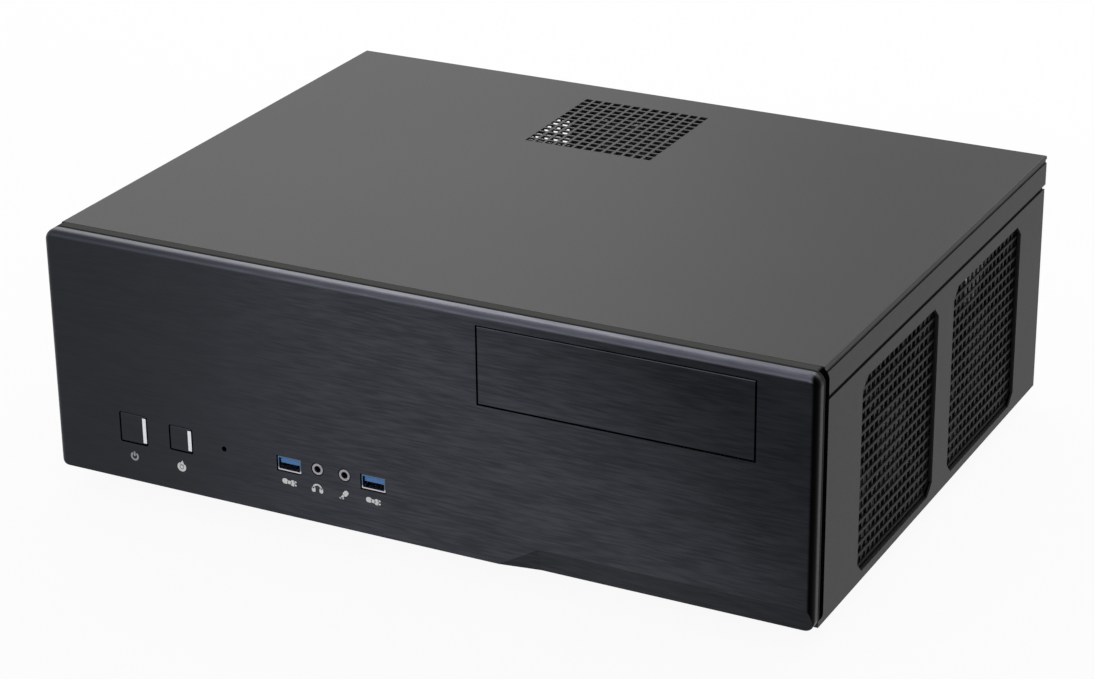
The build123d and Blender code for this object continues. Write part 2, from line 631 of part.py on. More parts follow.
def grille_ring(y0, y1, z0, z1):
    """Eight flat pieces round a window: four straight strips and four corners along its clips."""
    lap, clip = GRILLE_LAP, VENT_CLIP
    strips = [rect(y0 - lap, y0, z0 + clip, z1 - clip), rect(y1, y1 + lap, z0 + clip, z1 - clip),
              rect(y0 + clip, y1 - clip, z0 - lap, z0), rect(y0 + clip, y1 - clip, z1, z1 + lap)]
    corners = []
    for y, out_y in ((y0, -1), (y1, 1)):
        for z, out_z in ((z0, -1), (z1, 1)):
            far_y, far_z = y + out_y * lap, z + out_z * lap
            near_y, near_z = y - out_y * clip, z - out_z * clip
            corners.append(Polygon((y, near_z), (far_y, near_z), (far_y, far_z), (near_y, far_z),
                                   (near_y, z), align=None))
    return strips + corners


def make_grille(side, y):
    """Square-mesh grille: level bars in front, upright bars behind, a ring that holds them off."""
    y0, y1 = y - VENT_WIDTH / 2, y + VENT_WIDTH / 2
    z0, z1 = VENT_BOTTOM, VENT_BOTTOM + VENT_HEIGHT
    width, height = VENT_WIDTH + 2 * GRILLE_LAP, VENT_HEIGHT + 2 * GRILLE_LAP
    rows, columns = int(VENT_HEIGHT // MESH_PITCH) + 1, int(VENT_WIDTH // MESH_PITCH) + 1
    middle = Pos(y, VENT_Z)
    level = [middle * spot * Rectangle(width, GRILLE_BAR)
             for spot in GridLocations(1, MESH_PITCH, 1, rows)]
    upright = [middle * spot * Rectangle(GRILLE_BAR, height)
               for spot in GridLocations(MESH_PITCH, 1, columns, 1)]
    pieces = [side_plate(bar, GRILLE_MID, GRILLE_OUT) for bar in level]
    pieces += [side_plate(bar, GRILLE_IN, GRILLE_MID) for bar in upright]
    pieces += [side_plate(part, GRILLE_OUT, INNER) for part in grille_ring(y0, y1, z0, z1)]
    return pieces if side > 0 else [mirror(piece, about=Plane.YZ) for piece in pieces]


def supply_face_cut():
    """Opening of the rear wall at the power supply, with clipped corners for its screws."""
    width = SUPPLY_WIDTH - 2 * SUPPLY_CUT_INSET
    height = SUPPLY_HEIGHT - 2 * SUPPLY_CUT_INSET
    middle = SHEET + SUPPLY_HEIGHT / 2
    return Pos(SUPPLY_X, middle) * clipped(width, height, SUPPLY_CUT_CLIP)


def make_rear_wall():
    """Rear wall: port opening, slot openings, power supply opening, mesh vents and slot rail."""
    cuts = [rect(SHIELD_LEFT, SHIELD_RIGHT, SHIELD_BOTTOM, SHIELD_TOP), supply_face_cut()]
    slot_low, slot_high = SLOT_COVER_BOTTOM + SLOT_LAP, SLOT_COVER_TOP - SLOT_LAP
    cuts += [Pos(x, (slot_low + slot_high) / 2) * Rectangle(SLOT_OPENING_WIDTH, slot_high - slot_low)
             for x in SLOT_X]
    cuts += [Pos(x, THUMB_Z) * Circle(THUMB_SHANK_R + SLIDE_CLEARANCE) for x in THUMB_X]
    vent_top = COVER_LOW - SLOT_LAP
    cuts += hole_grid(SHIELD_LEFT, SHIELD_RIGHT, SHIELD_TOP + SLOT_LAP, vent_top, VENT_HOLE)
    cuts += hole_grid(SUPPLY_LEFT + SUPPLY_VENT_EDGE, SUPPLY_RIGHT - SUPPLY_VENT_EDGE,
                      SUPPLY_TOP + SLOT_LAP, vent_top, VENT_HOLE)
    wall = front_plate(end_outline() - cuts, REAR_IN, REAR_OUT)
    half = SLOT_COVER_WIDTH / 2 + SHEET
    rail_low = SLOT_COVER_TOP - 2 * SHEET
    wall += block(SLOT_X[-1] - half, SLOT_X[0] + half, REAR_IN - SLOT_RAIL, REAR_IN,
                  rail_low, rail_low + SHEET) - [
        block(x - half + SHEET / 2, x + half - SHEET / 2, REAR_IN - SHEET - SLIDE_CLEARANCE, REAR_IN,
              rail_low, rail_low + SHEET) for x in SLOT_X]
    return wall


def make_floor():
    """Floor pan, drilled for the feet and for the motherboard's standoffs."""
    cuts = [Pos(x, y) * Circle(FOOT_SCREW_R + RUN_CLEARANCE) for x, y in FOOT_PLACES]
    return flat_plate(rect(-INNER, INNER, SHEET, REAR_IN) - cuts, 0, SHEET)


def make_brace():
    """Channel across the case under the rails, behind the drive cage."""
    reach = STEP - SHEET
    low = RAIL_LOW - BRACE_HEIGHT
    bar = block(-reach, reach, CAGE_REAR, CAGE_REAR + BRACE_DEPTH, low, RAIL_LOW)
    return bar - block(-reach, reach, CAGE_REAR + SHEET, CAGE_REAR + BRACE_DEPTH - SHEET,
                       low, RAIL_LOW - SHEET)


def make_cover():
    """Top cover: a sheet with grooved side flanges, a rear flange and a square-mesh vent."""
    x0, x1 = COVER_VENT_X - COVER_VENT_WIDTH / 2, COVER_VENT_X + COVER_VENT_WIDTH / 2
    y0, y1 = COVER_VENT_Y - COVER_VENT_DEPTH / 2, COVER_VENT_Y + COVER_VENT_DEPTH / 2
    sheet = rect(-HALF, HALF, SLIDE_CLEARANCE, CASE_DEPTH) - hole_grid(x0, x1, y0, y1, COVER_HOLE)
    cover = flat_plate(sheet, CASE_HEIGHT - SHEET, CASE_HEIGHT)
    top = CASE_HEIGHT - SHEET
    cover += block(-HALF, -INNER, SLIDE_CLEARANCE, CASE_DEPTH, COVER_LOW, top)
    cover += block(INNER, HALF, SLIDE_CLEARANCE, CASE_DEPTH, COVER_LOW, top)
    holes = [Pos(x, THUMB_Z) * Circle(THUMB_SHANK_R + SLIDE_CLEARANCE) for x in THUMB_X]
    flange = rect(-INNER, INNER, COVER_LOW, top) - holes
    cover += front_plate(flange, CASE_DEPTH - SHEET, CASE_DEPTH)
    long_folds = cover.edges().filter_by(Axis.Y).group_by(Axis.Z)[-1].sort_by(Axis.X)
    rear_fold = cover.edges().filter_by(Axis.X).group_by(Axis.Z)[-1].sort_by(Axis.Y)[-1]
    cover = fillet([long_folds[0], long_folds[-1], rear_fold], COVER_BEND)
    high = CASE_HEIGHT - COVER_GROOVE_TOP
    for face in (-HALF, HALF - COVER_GROOVE_DEPTH):
        cover -= block(face, face + COVER_GROOVE_DEPTH, SLIDE_CLEARANCE, CASE_DEPTH,
                       high - COVER_GROOVE, high)
    return cover


def make_thumbscrew(x):
    """Captive thumbscrew with a ridged head."""
    head = Circle(THUMB_HEAD_R) - [spot * Circle(THUMB_RIDGE_R)
                                   for spot in PolarLocations(THUMB_HEAD_R, THUMB_RIDGES)]
    screw = front_plate(Pos(x, THUMB_Z) * head, CASE_DEPTH, CASE_DEPTH + THUMB_HEAD)
    return screw + rod_y(x, THUMB_Z, CASE_DEPTH - THUMB_SHANK, CASE_DEPTH, THUMB_SHANK_R)


def angles(count):
    """Even angles round a full turn, in degrees."""
    return [360.0 * i / count for i in range(count)]


def make_foot(x, y):
    """Round foot, its rubber pad and the screw that holds it to the floor."""
    low = PAD_HEIGHT - FOOT_HEIGHT
    foot = Pos(x, y, low / 2) * Cone(FOOT_LOW_R, FOOT_TOP_R, -low)
    head = Pos(x, y, low + FOOT_SCREW_HEAD / 2) * Cylinder(FOOT_SCREW_HEAD_R, FOOT_SCREW_HEAD)
    shank_low = low + FOOT_SCREW_HEAD
    shank = Pos(x, y, (shank_low + SHEET) / 2) * Cylinder(FOOT_SCREW_R, SHEET - shank_low)
    pad = Pos(x, y, -FOOT_HEIGHT + PAD_HEIGHT / 2) * Cylinder(PAD_R, PAD_HEIGHT)
    return foot - head - shank, pad, head + shank


# ---------------------------------------------------------------- motherboard
def board_holes():
    """Places of the motherboard's mounting holes: three rows of three."""
    xs = [BOARD_LEFT + BOARD_HOLE_EDGE, (BOARD_LEFT + BOARD_RIGHT) / 2 - BOARD_HOLE_EDGE,
          BOARD_RIGHT - BOARD_HOLE_EDGE]
    front_row = BOARD_FRONT + BOARD_HOLE_EDGE
    ys = [front_row, front_row + BOARD_ROW_PITCH, BOARD_REAR - BOARD_REAR_ROW]
    return [(x, y) for x in xs for y in ys if (x, y) != (xs[1], ys[2])]


def make_motherboard():
    """Bare board with its mounting holes."""
    cuts = [Pos(x, y) * Circle(BOARD_HOLE_R) for x, y in board_holes()]
    return flat_plate(rect(BOARD_LEFT, BOARD_RIGHT, BOARD_FRONT, BOARD_REAR) - cuts,
                      BOARD_BOTTOM, BOARD_TOP)


def make_standoff(x, y):
    """Hexagonal standoff between floor and motherboard, bored for its screw."""
    post = flat_plate(Pos(x, y) * RegularPolygon(STANDOFF_R, 6), SHEET, BOARD_BOTTOM)
    return post - flat_plate(Pos(x, y) * Circle(SCREW_R), SHEET + SHEET, BOARD_BOTTOM)


def make_board_screw(x, y):
    """Screw through the motherboard into its standoff."""
    head = flat_plate(Pos(x, y) * Circle(SCREW_HEAD_R), BOARD_TOP, BOARD_TOP + SCREW_HEAD)
    shank_low = BOARD_BOTTOM - STANDOFF_HEIGHT / 2
    return head + flat_plate(Pos(x, y) * Circle(SCREW_R), shank_low, BOARD_TOP)


def port_places():
    """Rear ports from the board's right edge inwards: (kind, middle x, width, height)."""
    places, right = [], SHIELD_RIGHT - PORT_SPACING
    for kind, width, height in REAR_PORTS:
        places.append((kind, right - width / 2, width, height))
        right -= width + PORT_SPACING
    return places


def make_audio_port(x, width, height):
    """Audio sockets one above the other, each a block of its own with a bore from the rear."""
    back = REAR_OUT - SLIDE_CLEARANCE
    front = back - PORT_DEPTH
    rise = height / AUDIO_COUNT
    sockets = []
    for i in range(AUDIO_COUNT):
        low = BOARD_TOP + rise * i
        high = low + rise - SLIDE_CLEARANCE
        socket = block(x - width / 2, x + width / 2, front, back, low, high)
        sockets.append(socket - rod_y(x, low + rise / 2, front + AUDIO_FLOOR, back, JACK_BORE_R))
    return sockets


def make_network_port(x, width, height):
    """Stack whose top socket takes a network plug, open to the rear."""
    back = REAR_OUT - SLIDE_CLEARANCE
    front = back - PORT_DEPTH
    body = block(x - width / 2, x + width / 2, front, back, BOARD_TOP, BOARD_TOP + height)
    high = BOARD_TOP + height - PORT_WALL
    return [body - block(x - width / 2 + PORT_WALL, x + width / 2 - PORT_WALL, front + PORT_FLOOR,
                         back, high - NETWORK_SOCKET, high)]


def make_tongue_port(kind, x, width, height):
    """Stack of flat sockets with a tongue in each, open to the rear."""
    back = REAR_OUT - SLIDE_CLEARANCE
    front = back - PORT_DEPTH
    body = block(x - width / 2, x + width / 2, front, back, BOARD_TOP, BOARD_TOP + height)
    rows = max(int(height // PORT_ROW[kind]), 1)
    rise = height / rows
    side = width / 2 - PORT_WALL
    for i in range(rows):
        low = BOARD_TOP + rise * i + PORT_WALL
        high = low + rise - 2 * PORT_WALL
        middle = (low + high) / 2
        body -= block(x - side, x + side, front + PORT_FLOOR, back, low, high)
        body += block(x - side + PORT_WALL, x + side - PORT_WALL, front + PORT_FLOOR,
                      back - PORT_TONGUE_SINK, middle - PORT_TONGUE / 2, middle + PORT_TONGUE / 2)
    return [body]


def make_rear_ports():
    """Every rear port, standing on the motherboard."""
    ports = []
    for kind, x, width, height in port_places():
        if kind == "audio":
            ports += make_audio_port(x, width, height)
        elif kind == "network":
            ports += make_network_port(x, width, height)
        else:
            ports += make_tongue_port(kind, x, width, height)
    return ports


def make_io_shield():
    """Port shield: a sheet in the rear wall's opening, with a lip behind the wall."""
    outer = rect(SHIELD_LEFT + SLIDE_CLEARANCE, SHIELD_RIGHT - SLIDE_CLEARANCE,
                 SHIELD_BOTTOM + SLIDE_CLEARANCE, SHIELD_TOP - SLIDE_CLEARANCE)
    cuts = [rect(x - w / 2 - PORT_GAP, x + w / 2 + PORT_GAP, BOARD_TOP - PORT_GAP,
                 BOARD_TOP + h + PORT_GAP) for kind, x, w, h in port_places()]
    shield = front_plate(outer - cuts, REAR_IN - SHIELD_SHEET, REAR_OUT - SLIDE_CLEARANCE)
    lip = rect(SHIELD_LEFT - SHIELD_LIP, SHIELD_RIGHT + SHIELD_LIP, BOARD_TOP,
               SHIELD_TOP + SHIELD_LIP)
    inside = rect(SHIELD_LEFT + SHIELD_LIP, SHIELD_RIGHT - SHIELD_LIP, BOARD_TOP,
                  SHIELD_TOP - SHIELD_LIP)
    return shield + front_plate(lip - inside, REAR_IN - SHIELD_SHEET, REAR_IN)


def make_slot_cover(x):
    """Blank slot cover: a strip behind its opening, with a tab folded onto the rail."""
    half = SLOT_COVER_WIDTH / 2
    strip = block(x - half, x + half, REAR_IN - SHEET, REAR_IN, SLOT_COVER_BOTTOM, SLOT_COVER_TOP)
    tab = block(x - half, x + half, REAR_IN - SLOT_RAIL, REAR_IN, SLOT_COVER_TOP - SHEET, SLOT_COVER_TOP)
    return strip + tab


def make_connector(x):
    """Expansion connector along the motherboard, with the groove for the card."""
    rear = BOARD_REAR - CONNECTOR_REAR_GAP
    front = rear - CONNECTOR_LENGTH
    top = BOARD_TOP + CONNECTOR_HEIGHT
    body = block(x - CONNECTOR_WIDTH / 2, x + CONNECTOR_WIDTH / 2, front, rear, BOARD_TOP, top)
    half = CARD_GROOVE / 2
    return body - block(x - half, x + half, front + CARD_GROOVE_END, rear - CARD_GROOVE_END,
                        top - CARD_GROOVE_DEPTH, top)


def memory_places():
    """Middle lines of the memory slots, along Y."""
    return [MEMORY_Y + MEMORY_PITCH * i for i in range(MEMORY_COUNT)]


def make_memory_slot(y):
    """Memory slot with a groove for the module and a latch at each end."""
    x0, x1 = MEMORY_X - MEMORY_SLOT_LENGTH / 2, MEMORY_X + MEMORY_SLOT_LENGTH / 2
    half = MEMORY_SLOT_WIDTH / 2
    top = BOARD_TOP + MEMORY_SLOT_HEIGHT
    body = block(x0, x1, y - half, y + half, BOARD_TOP, top)
    latch_top = top + MEMORY_LATCH_RISE
    for edge in (x0, x1 - MEMORY_LATCH):
        body += block(edge, edge + MEMORY_LATCH, y - half, y + half, BOARD_TOP, latch_top)
    groove = MEMORY_THICKNESS / 2 + PORT_GAP / 2
    reach = MEMORY_LENGTH / 2 + SLIDE_CLEARANCE
    return body - block(MEMORY_X - reach, MEMORY_X + reach, y - groove, y + groove,
                        top - MEMORY_SEAT, top)


def make_memory_module(y):
    """Memory module: a board with a row of chips on one face."""
    low = BOARD_TOP + MEMORY_SLOT_HEIGHT - MEMORY_SEAT
    half = MEMORY_THICKNESS / 2
    module = block(MEMORY_X - MEMORY_LENGTH / 2, MEMORY_X + MEMORY_LENGTH / 2, y - half, y + half,
                   low, low + MEMORY_HEIGHT)
    pitch = MEMORY_LENGTH / MEMORY_CHIPS
    top = low + MEMORY_HEIGHT - CHIP_TOP_GAP
    for i in range(MEMORY_CHIPS):
        x = MEMORY_X + pitch * (i - (MEMORY_CHIPS - 1) / 2)
        module += block(x - pitch / 3, x + pitch / 3, y - half - CHIP_THICKNESS, y - half,
                        top - CHIP_HEIGHT, top)
    return module


def make_heatsink():
    """Processor heatsink: base on the socket and a comb of fins."""
    socket = block(COOLER_X - SOCKET_SIZE / 2, COOLER_X + SOCKET_SIZE / 2,
                   COOLER_Y - SOCKET_SIZE / 2, COOLER_Y + SOCKET_SIZE / 2,
                   BOARD_TOP, BOARD_TOP + SOCKET_HEIGHT)
    low = BOARD_TOP + SOCKET_HEIGHT
    half = COOLER_SIZE / 2
    comb = rect(COOLER_X - half, COOLER_X + half, low, low + COOLER_BASE)
    pitch = (COOLER_SIZE - FIN_THICKNESS) / (FIN_COUNT - 1)
    for i in range(FIN_COUNT):
        x = COOLER_X - half + pitch * i
        comb += rect(x, x + FIN_THICKNESS, low, low + COOLER_BASE + FIN_HEIGHT)
    return socket + front_plate(comb, COOLER_Y - half, COOLER_Y + half)


# ---------------------------------------------------------------- fans
def fan_frame(size):
    """Square fan frame from z = 0 up, with its struts and bearing tube at z = 0."""
    bore = size / 2 - FAN_RIM
    edge = size / 2 - FAN_SCREW_EDGE
    corners = [Pos(x, y) * Circle(FAN_SCREW_R) for x in (-edge, edge) for y in (-edge, edge)]
    frame = flat_plate(RectangleRounded(size, size, FAN_CORNER) - [Circle(bore)] - corners, 0, FAN_DEPTH)
    hub = fan_hub(size)
    spider = flat_plate(Circle(hub), 0, FAN_STRUT)
    half = FAN_STRUT_WIDTH / 2
    arm = block(hub - FAN_STRUT, bore + FAN_RIM / 2, -half, half, 0, FAN_STRUT)
    for angle in angles(4):
        spider += Rot(0, 0, angle + 45) * arm
    tube = Circle(FAN_TUBE_R) - Circle(FAN_SHAFT_R + RUN_CLEARANCE)
    spider += flat_plate(tube, FAN_STRUT, FAN_STRUT + FAN_TUBE_LENGTH)
    return frame + spider


def fan_hub(size):
    """Hub radius of a fan, in step with its size."""
    return FAN_HUB_R * size / CASE_FAN


def fan_rotor(size):
    """Rotor: a cup over the bearing tube, its shaft and the pitched blades."""
    hub = fan_hub(size)
    low = FAN_STRUT + FAN_AXIAL_GAP
    high = FAN_DEPTH - FAN_HUB_WALL
    rotor = flat_plate(Circle(hub), low, high)
    tip = size / 2 - FAN_RIM - FAN_TIP_GAP
    ring = flat_plate(Circle(tip) - Circle(hub - FAN_HUB_WALL / 2), low, high)
    chord = BLADE_CHORD * size / CASE_FAN
    blade = Pos((hub + tip) / 2, 0, (low + high) / 2) * Rot(BLADE_PITCH, 0, 0) * Box(
        tip - hub + FAN_HUB_R, chord, BLADE_THICKNESS)
    for angle in angles(FAN_BLADES):
        rotor += (Rot(0, 0, angle) * blade) & ring
    rotor -= flat_plate(Circle(hub - FAN_HUB_WALL), low, high - FAN_HUB_WALL)
    return rotor + flat_plate(Circle(FAN_SHAFT_R), FAN_STRUT + FAN_AXIAL_GAP, high)


def case_fan(part, y):
    """A fan part turned to stand behind a right-hand grille, struts against the mesh."""
    return Pos(GRILLE_IN, y, FAN_Z) * Rot(0, -90, 0) * part


# ---------------------------------------------------------------- power supply
def rocker_outline():
    """Section of the rocker across its pivot: a disc cut to two faces that tilt to the rear."""
    rise = ROCKER_PIVOT_DEPTH
    lean = ROCKER_R * tan(radians(ROCKER_TILT))
    face = Polygon((rise - lean, -ROCKER_R), (rise, 0), (rise - lean, ROCKER_R),
                   (-ROCKER_R, ROCKER_R), (-ROCKER_R, -ROCKER_R), align=None)
    return face & Circle(ROCKER_R)


def make_rocker():
    """Mains rocker with its two pivot stubs; it rests with the upper half pressed in."""
    body = side_plate(rocker_outline(), -ROCKER_WIDTH / 2, ROCKER_WIDTH / 2)
    reach = ROCKER_WIDTH / 2 + ROCKER_PIVOT
    body += side_plate(Circle(ROCKER_PIVOT_R), -reach, reach)
    return rocker_place() * Rot(ROCKER_TILT, 0, 0) * body


def rocker_place():
    """Middle of the rocker's pivot."""
    return Pos(ROCKER_X, REAR_IN - ROCKER_PIVOT_DEPTH, INLET_Z)


def rocker_window(grow):
    """Rectangle round the rocker, in the rear face."""
    width = ROCKER_WIDTH + 2 * SLIDE_CLEARANCE + 2 * grow
    return Pos(ROCKER_X, INLET_Z) * Rectangle(width, 2 * (ROCKER_R + 2 * SLIDE_CLEARANCE + grow))


def make_rocker_frame():
    """Frame of the mains switch: a flange on the rear face and a well with two pivot bores."""
    flange = rocker_window(ROCKER_FRAME) - rocker_window(0)
    well = rocker_window(ROCKER_FRAME / 2) - rocker_window(0)
    frame = front_plate(flange, REAR_IN, REAR_IN + INLET_FLANGE_DEPTH)
    frame += front_plate(well, REAR_IN - ROCKER_FRAME_DEPTH, REAR_IN)
    reach = ROCKER_WIDTH / 2 + ROCKER_FRAME
    bore = side_plate(Circle(ROCKER_PIVOT_R + RUN_CLEARANCE), -reach, reach)
    return frame - rocker_place() * bore


def make_supply_lid():
    """Power supply's lid: its top with the fan opening, and its two sides."""
    lid = block(SUPPLY_LEFT, SUPPLY_RIGHT, SUPPLY_FRONT, REAR_IN, SHEET, SUPPLY_TOP)
    lid -= block(SUPPLY_LEFT + SHEET, SUPPLY_RIGHT - SHEET, SUPPLY_FRONT, REAR_IN,
                 SHEET, SUPPLY_TOP - SHEET)
    opening = Pos(SUPPLY_X, SUPPLY_FAN_Y) * Circle(CASE_FAN / 2 - FAN_RIM)
    return lid - flat_plate(opening, SUPPLY_TOP - SHEET, SUPPLY_TOP)


def make_supply_case():
    """Power supply casing under the lid: its floor, front wall and meshed rear wall."""
    left, right = SUPPLY_LEFT + SHEET, SUPPLY_RIGHT - SHEET
    floor = block(left, right, SUPPLY_FRONT, REAR_IN, SHEET, 2 * SHEET)
    front = block(left, right, SUPPLY_FRONT, SUPPLY_FRONT + SHEET, 2 * SHEET, SUPPLY_TOP - SHEET)
    mesh_left = ROCKER_X + ROCKER_WIDTH / 2 + SUPPLY_VENT_EDGE
    low = SHEET + SUPPLY_VENT_EDGE
    cuts = [Pos(INLET_X, INLET_Z) * Rectangle(INLET_WIDTH, INLET_HEIGHT), rocker_window(ROCKER_FRAME / 2)]
    cuts += hole_grid(mesh_left, SUPPLY_RIGHT - SUPPLY_VENT_EDGE, low, SUPPLY_TOP - SUPPLY_VENT_EDGE,
                      VENT_HOLE)
    cuts += hole_grid(SUPPLY_LEFT + SUPPLY_VENT_EDGE, mesh_left, low, INLET_Z - INLET_HEIGHT, VENT_HOLE)
    face = rect(left, right, 2 * SHEET, SUPPLY_TOP - SHEET) - cuts
    return floor, front, front_plate(face, REAR_IN - SHEET, REAR_IN)


def make_fan_guard():
    """Wire guard over the power supply's fan: rings on two crossed bars."""
    low = SUPPLY_TOP
    outer = CASE_FAN / 2 - FAN_RIM
    rings = [outer * (i + 1) / GUARD_RINGS for i in range(GUARD_RINGS)]
    guard = Sketch()
    for radius in rings:
        guard += Circle(radius + GUARD_WIRE_R) - Circle(radius - GUARD_WIRE_R)
    for angle in (45, 135):
        guard += Rot(0, 0, angle) * Rectangle(2 * GUARD_REACH, 2 * GUARD_WIRE_R)
    return flat_plate(Pos(SUPPLY_X, SUPPLY_FAN_Y) * guard, low, low + 2 * GUARD_WIRE_R)


def make_inlet():
    """Mains inlet: a flanged socket with three flat pins."""
    spot = Pos(INLET_X, INLET_Z)
    flange = Rectangle(INLET_WIDTH + 2 * INLET_FLANGE, INLET_HEIGHT + 2 * INLET_FLANGE)
    back = REAR_IN + INLET_FLANGE_DEPTH
    body = front_plate(spot * flange, REAR_IN, back)
    body += front_plate(spot * Rectangle(INLET_WIDTH, INLET_HEIGHT), REAR_IN - INLET_DEPTH, REAR_IN)
    recess = Rectangle(INLET_WIDTH - 2 * INLET_WALL, INLET_HEIGHT - 2 * INLET_WALL)
    floor = back - INLET_RECESS
    body -= front_plate(spot * recess, floor, back)
    for x, z in ((0, PIN_RISE), (-PIN_SIDE, -PIN_RISE), (PIN_SIDE, -PIN_RISE)):
        pin = Pos(INLET_X + x, INLET_Z + z) * Rectangle(PIN_WIDTH, PIN_HEIGHT)
        body += front_plate(pin, floor, floor + PIN_LENGTH)
    return body


# ---------------------------------------------------------------- drives
def make_cage():
    """Drive cage: two side plates and a floor, flanged onto the front wall and the brace."""
    left, right = BAY_X - BAY_INNER_WIDTH / 2, BAY_X + BAY_INNER_WIDTH / 2
    cage = block(left - SHEET, left, SHEET, CAGE_REAR, CAGE_LOW, RAIL_LOW)
    cage += block(right, right + SHEET, SHEET, CAGE_REAR, CAGE_LOW, RAIL_LOW)
    return cage + block(left - SHEET, right + SHEET, SHEET, CAGE_REAR, CAGE_LOW, CAGE_LOW + SHEET)


def make_hard_drive():
    """Hard drive: cast body with a raised lid and a board underneath."""
    x0, x1 = HARD_DRIVE_X - HARD_DRIVE_WIDTH / 2, HARD_DRIVE_X + HARD_DRIVE_WIDTH / 2
    y0, y1 = HARD_DRIVE_Y - HARD_DRIVE_LENGTH / 2, HARD_DRIVE_Y + HARD_DRIVE_LENGTH / 2
    low = SHEET + HARD_DRIVE_LIFT
    high = low + HARD_DRIVE_HEIGHT
    body = block(x0, x1, y0, y1, low, high - HARD_DRIVE_LID)
    body = fillet(body.edges().filter_by(Axis.Z), HARD_DRIVE_CORNER)
    inset = HARD_DRIVE_LID_INSET
    return body + block(x0 + inset, x1 - inset, y0 + inset, y1 - inset, high - HARD_DRIVE_LID, high)


def make_drive_bracket():
    """Bracket of the hard drive: two folded sides on the floor and a deck under the drive."""
    inner = HARD_DRIVE_WIDTH / 2 + HARD_DRIVE_GAP
    y0, y1 = HARD_DRIVE_Y - HARD_DRIVE_LENGTH / 2, HARD_DRIVE_Y + HARD_DRIVE_LENGTH / 2
    deck = SHEET + HARD_DRIVE_LIFT
    bracket = block(HARD_DRIVE_X - inner, HARD_DRIVE_X + inner, y0, y1, deck - SHEET, deck)
    top = deck + HARD_DRIVE_HEIGHT / 2
    for side in (-1, 1):
        edges = sorted((HARD_DRIVE_X + side * inner, HARD_DRIVE_X + side * (inner + SHEET)))
        bracket += block(*edges, y0, y1, SHEET, top)
        edges = sorted((HARD_DRIVE_X + side * inner, HARD_DRIVE_X + side * (inner + BRACKET_FOOT)))
        bracket += block(*edges, y0, y1, SHEET, 2 * SHEET)
    return bracket


# ---------------------------------------------------------------- writing the nodes
def write_front():
    save("front_fascia", make_fascia())
    save("fascia_carrier", make_carrier())
    plate, tray = make_bay_cover()
    save("bay_cover_plate", plate)
    save("bay_cover_tray", tray)
    for name, x, size in (("power", POWER_X, POWER_SIZE), ("reset", RESET_X, RESET_SIZE)):
        cap, bar = make_button(x, size)
        save(f"{name}_button", cap)
        save(f"{name}_light_bar", bar)
        save(f"{name}_spring", make_spring(x))
        save(f"{name}_switch", make_switch(x))
    save("button_board", *make_button_board())
    save("activity_light_pipe", make_light_pipe())
    shells, tongues = zip(*(make_usb(x) for x in (USB_LEFT_X, USB_RIGHT_X)))
    save("front_usb_shells", *shells)
    save("front_usb_tongues", *tongues)
    save("headphone_jack", make_jack(JACK_LEFT_X))
    save("microphone_jack", make_jack(JACK_RIGHT_X))
    save("front_port_board", make_port_board())


def write_case():
    save("floor_pan", make_floor())
    save("front_wall", make_front_wall())
    save("rear_wall", make_rear_wall())
    save("right_wall", make_side_wall(1, (VENT_FRONT_Y, VENT_REAR_Y)))
    save("left_wall", make_side_wall(-1, (VENT_FRONT_Y,)))
    save("right_front_grille", *make_grille(1, VENT_FRONT_Y))
    save("right_rear_grille", *make_grille(1, VENT_REAR_Y))
    save("left_grille", *make_grille(-1, VENT_FRONT_Y))
    save("cross_brace", make_brace())
    save("top_cover", make_cover())
    save("cover_thumbscrews", *(make_thumbscrew(x) for x in THUMB_X))
    feet, pads, screws = zip(*(make_foot(x, y) for x, y in FOOT_PLACES))
    save("feet", *feet)
    save("foot_pads", *pads)
    save("foot_screws", *screws)


def write_board():
    save("motherboard", make_motherboard())
    save("board_standoffs", *(make_standoff(x, y) for x, y in board_holes()))
    save("board_screws", *(make_board_screw(x, y) for x, y in board_holes()))
    save("rear_ports", *make_rear_ports())
    save("port_shield", make_io_shield())
    save("slot_covers", *(make_slot_cover(x) for x in SLOT_X))
    save("expansion_connectors", *(make_connector(x) for x in SLOT_X))
    save("memory_slots", *(make_memory_slot(y) for y in memory_places()))
    save("memory_modules", *(make_memory_module(y) for y in memory_places()[::2]))
    save("processor_heatsink", make_heatsink())
    fan_low = BOARD_TOP + SOCKET_HEIGHT + COOLER_BASE + FIN_HEIGHT
    place = Pos(COOLER_X, COOLER_Y, fan_low)
    save("processor_fan_frame", place * fan_frame(COOLER_SIZE))
    save("processor_fan_rotor", place * fan_rotor(COOLER_SIZE))


def write_fans_and_supply():
    frame, rotor = fan_frame(CASE_FAN), fan_rotor(CASE_FAN)
    for name, y in (("right_front_fan", VENT_FRONT_Y), ("right_rear_fan", VENT_REAR_Y)):
        save(f"{name}_frame", case_fan(frame, y))
        save(f"{name}_rotor", case_fan(rotor, y))
    place = Pos(SUPPLY_X, SUPPLY_FAN_Y, SUPPLY_TOP - SHEET) * Rot(180, 0, 0)
    save("supply_fan_frame", place * frame)
    save("supply_fan_rotor", place * rotor)
    save("supply_case", *make_supply_case())
    save("supply_lid", make_supply_lid())
    save("supply_fan_guard", make_fan_guard())
    save("mains_inlet", make_inlet())
    save("mains_switch_frame", make_rocker_frame())
    save("mains_switch_rocker", make_rocker())


def write_drives():
    save("drive_cage", make_cage())
    save("hard_drive", make_hard_drive())
    save("hard_drive_bracket", make_drive_bracket())


os.makedirs("parts", exist_ok=True)
write_front()
write_case()
write_board()
write_fans_and_supply()
write_drives()
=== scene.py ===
"""Looks of the horizontal desktop computer: camera, light, finishes and the fine pieces.

Lengths are metres in the part's own frame: +Z up, the front faces -Y, +X is the viewer's right.
"""
import json
from math import cos, pi, radians, sin

import bmesh
import bpy
from mathutils import Matrix, Vector


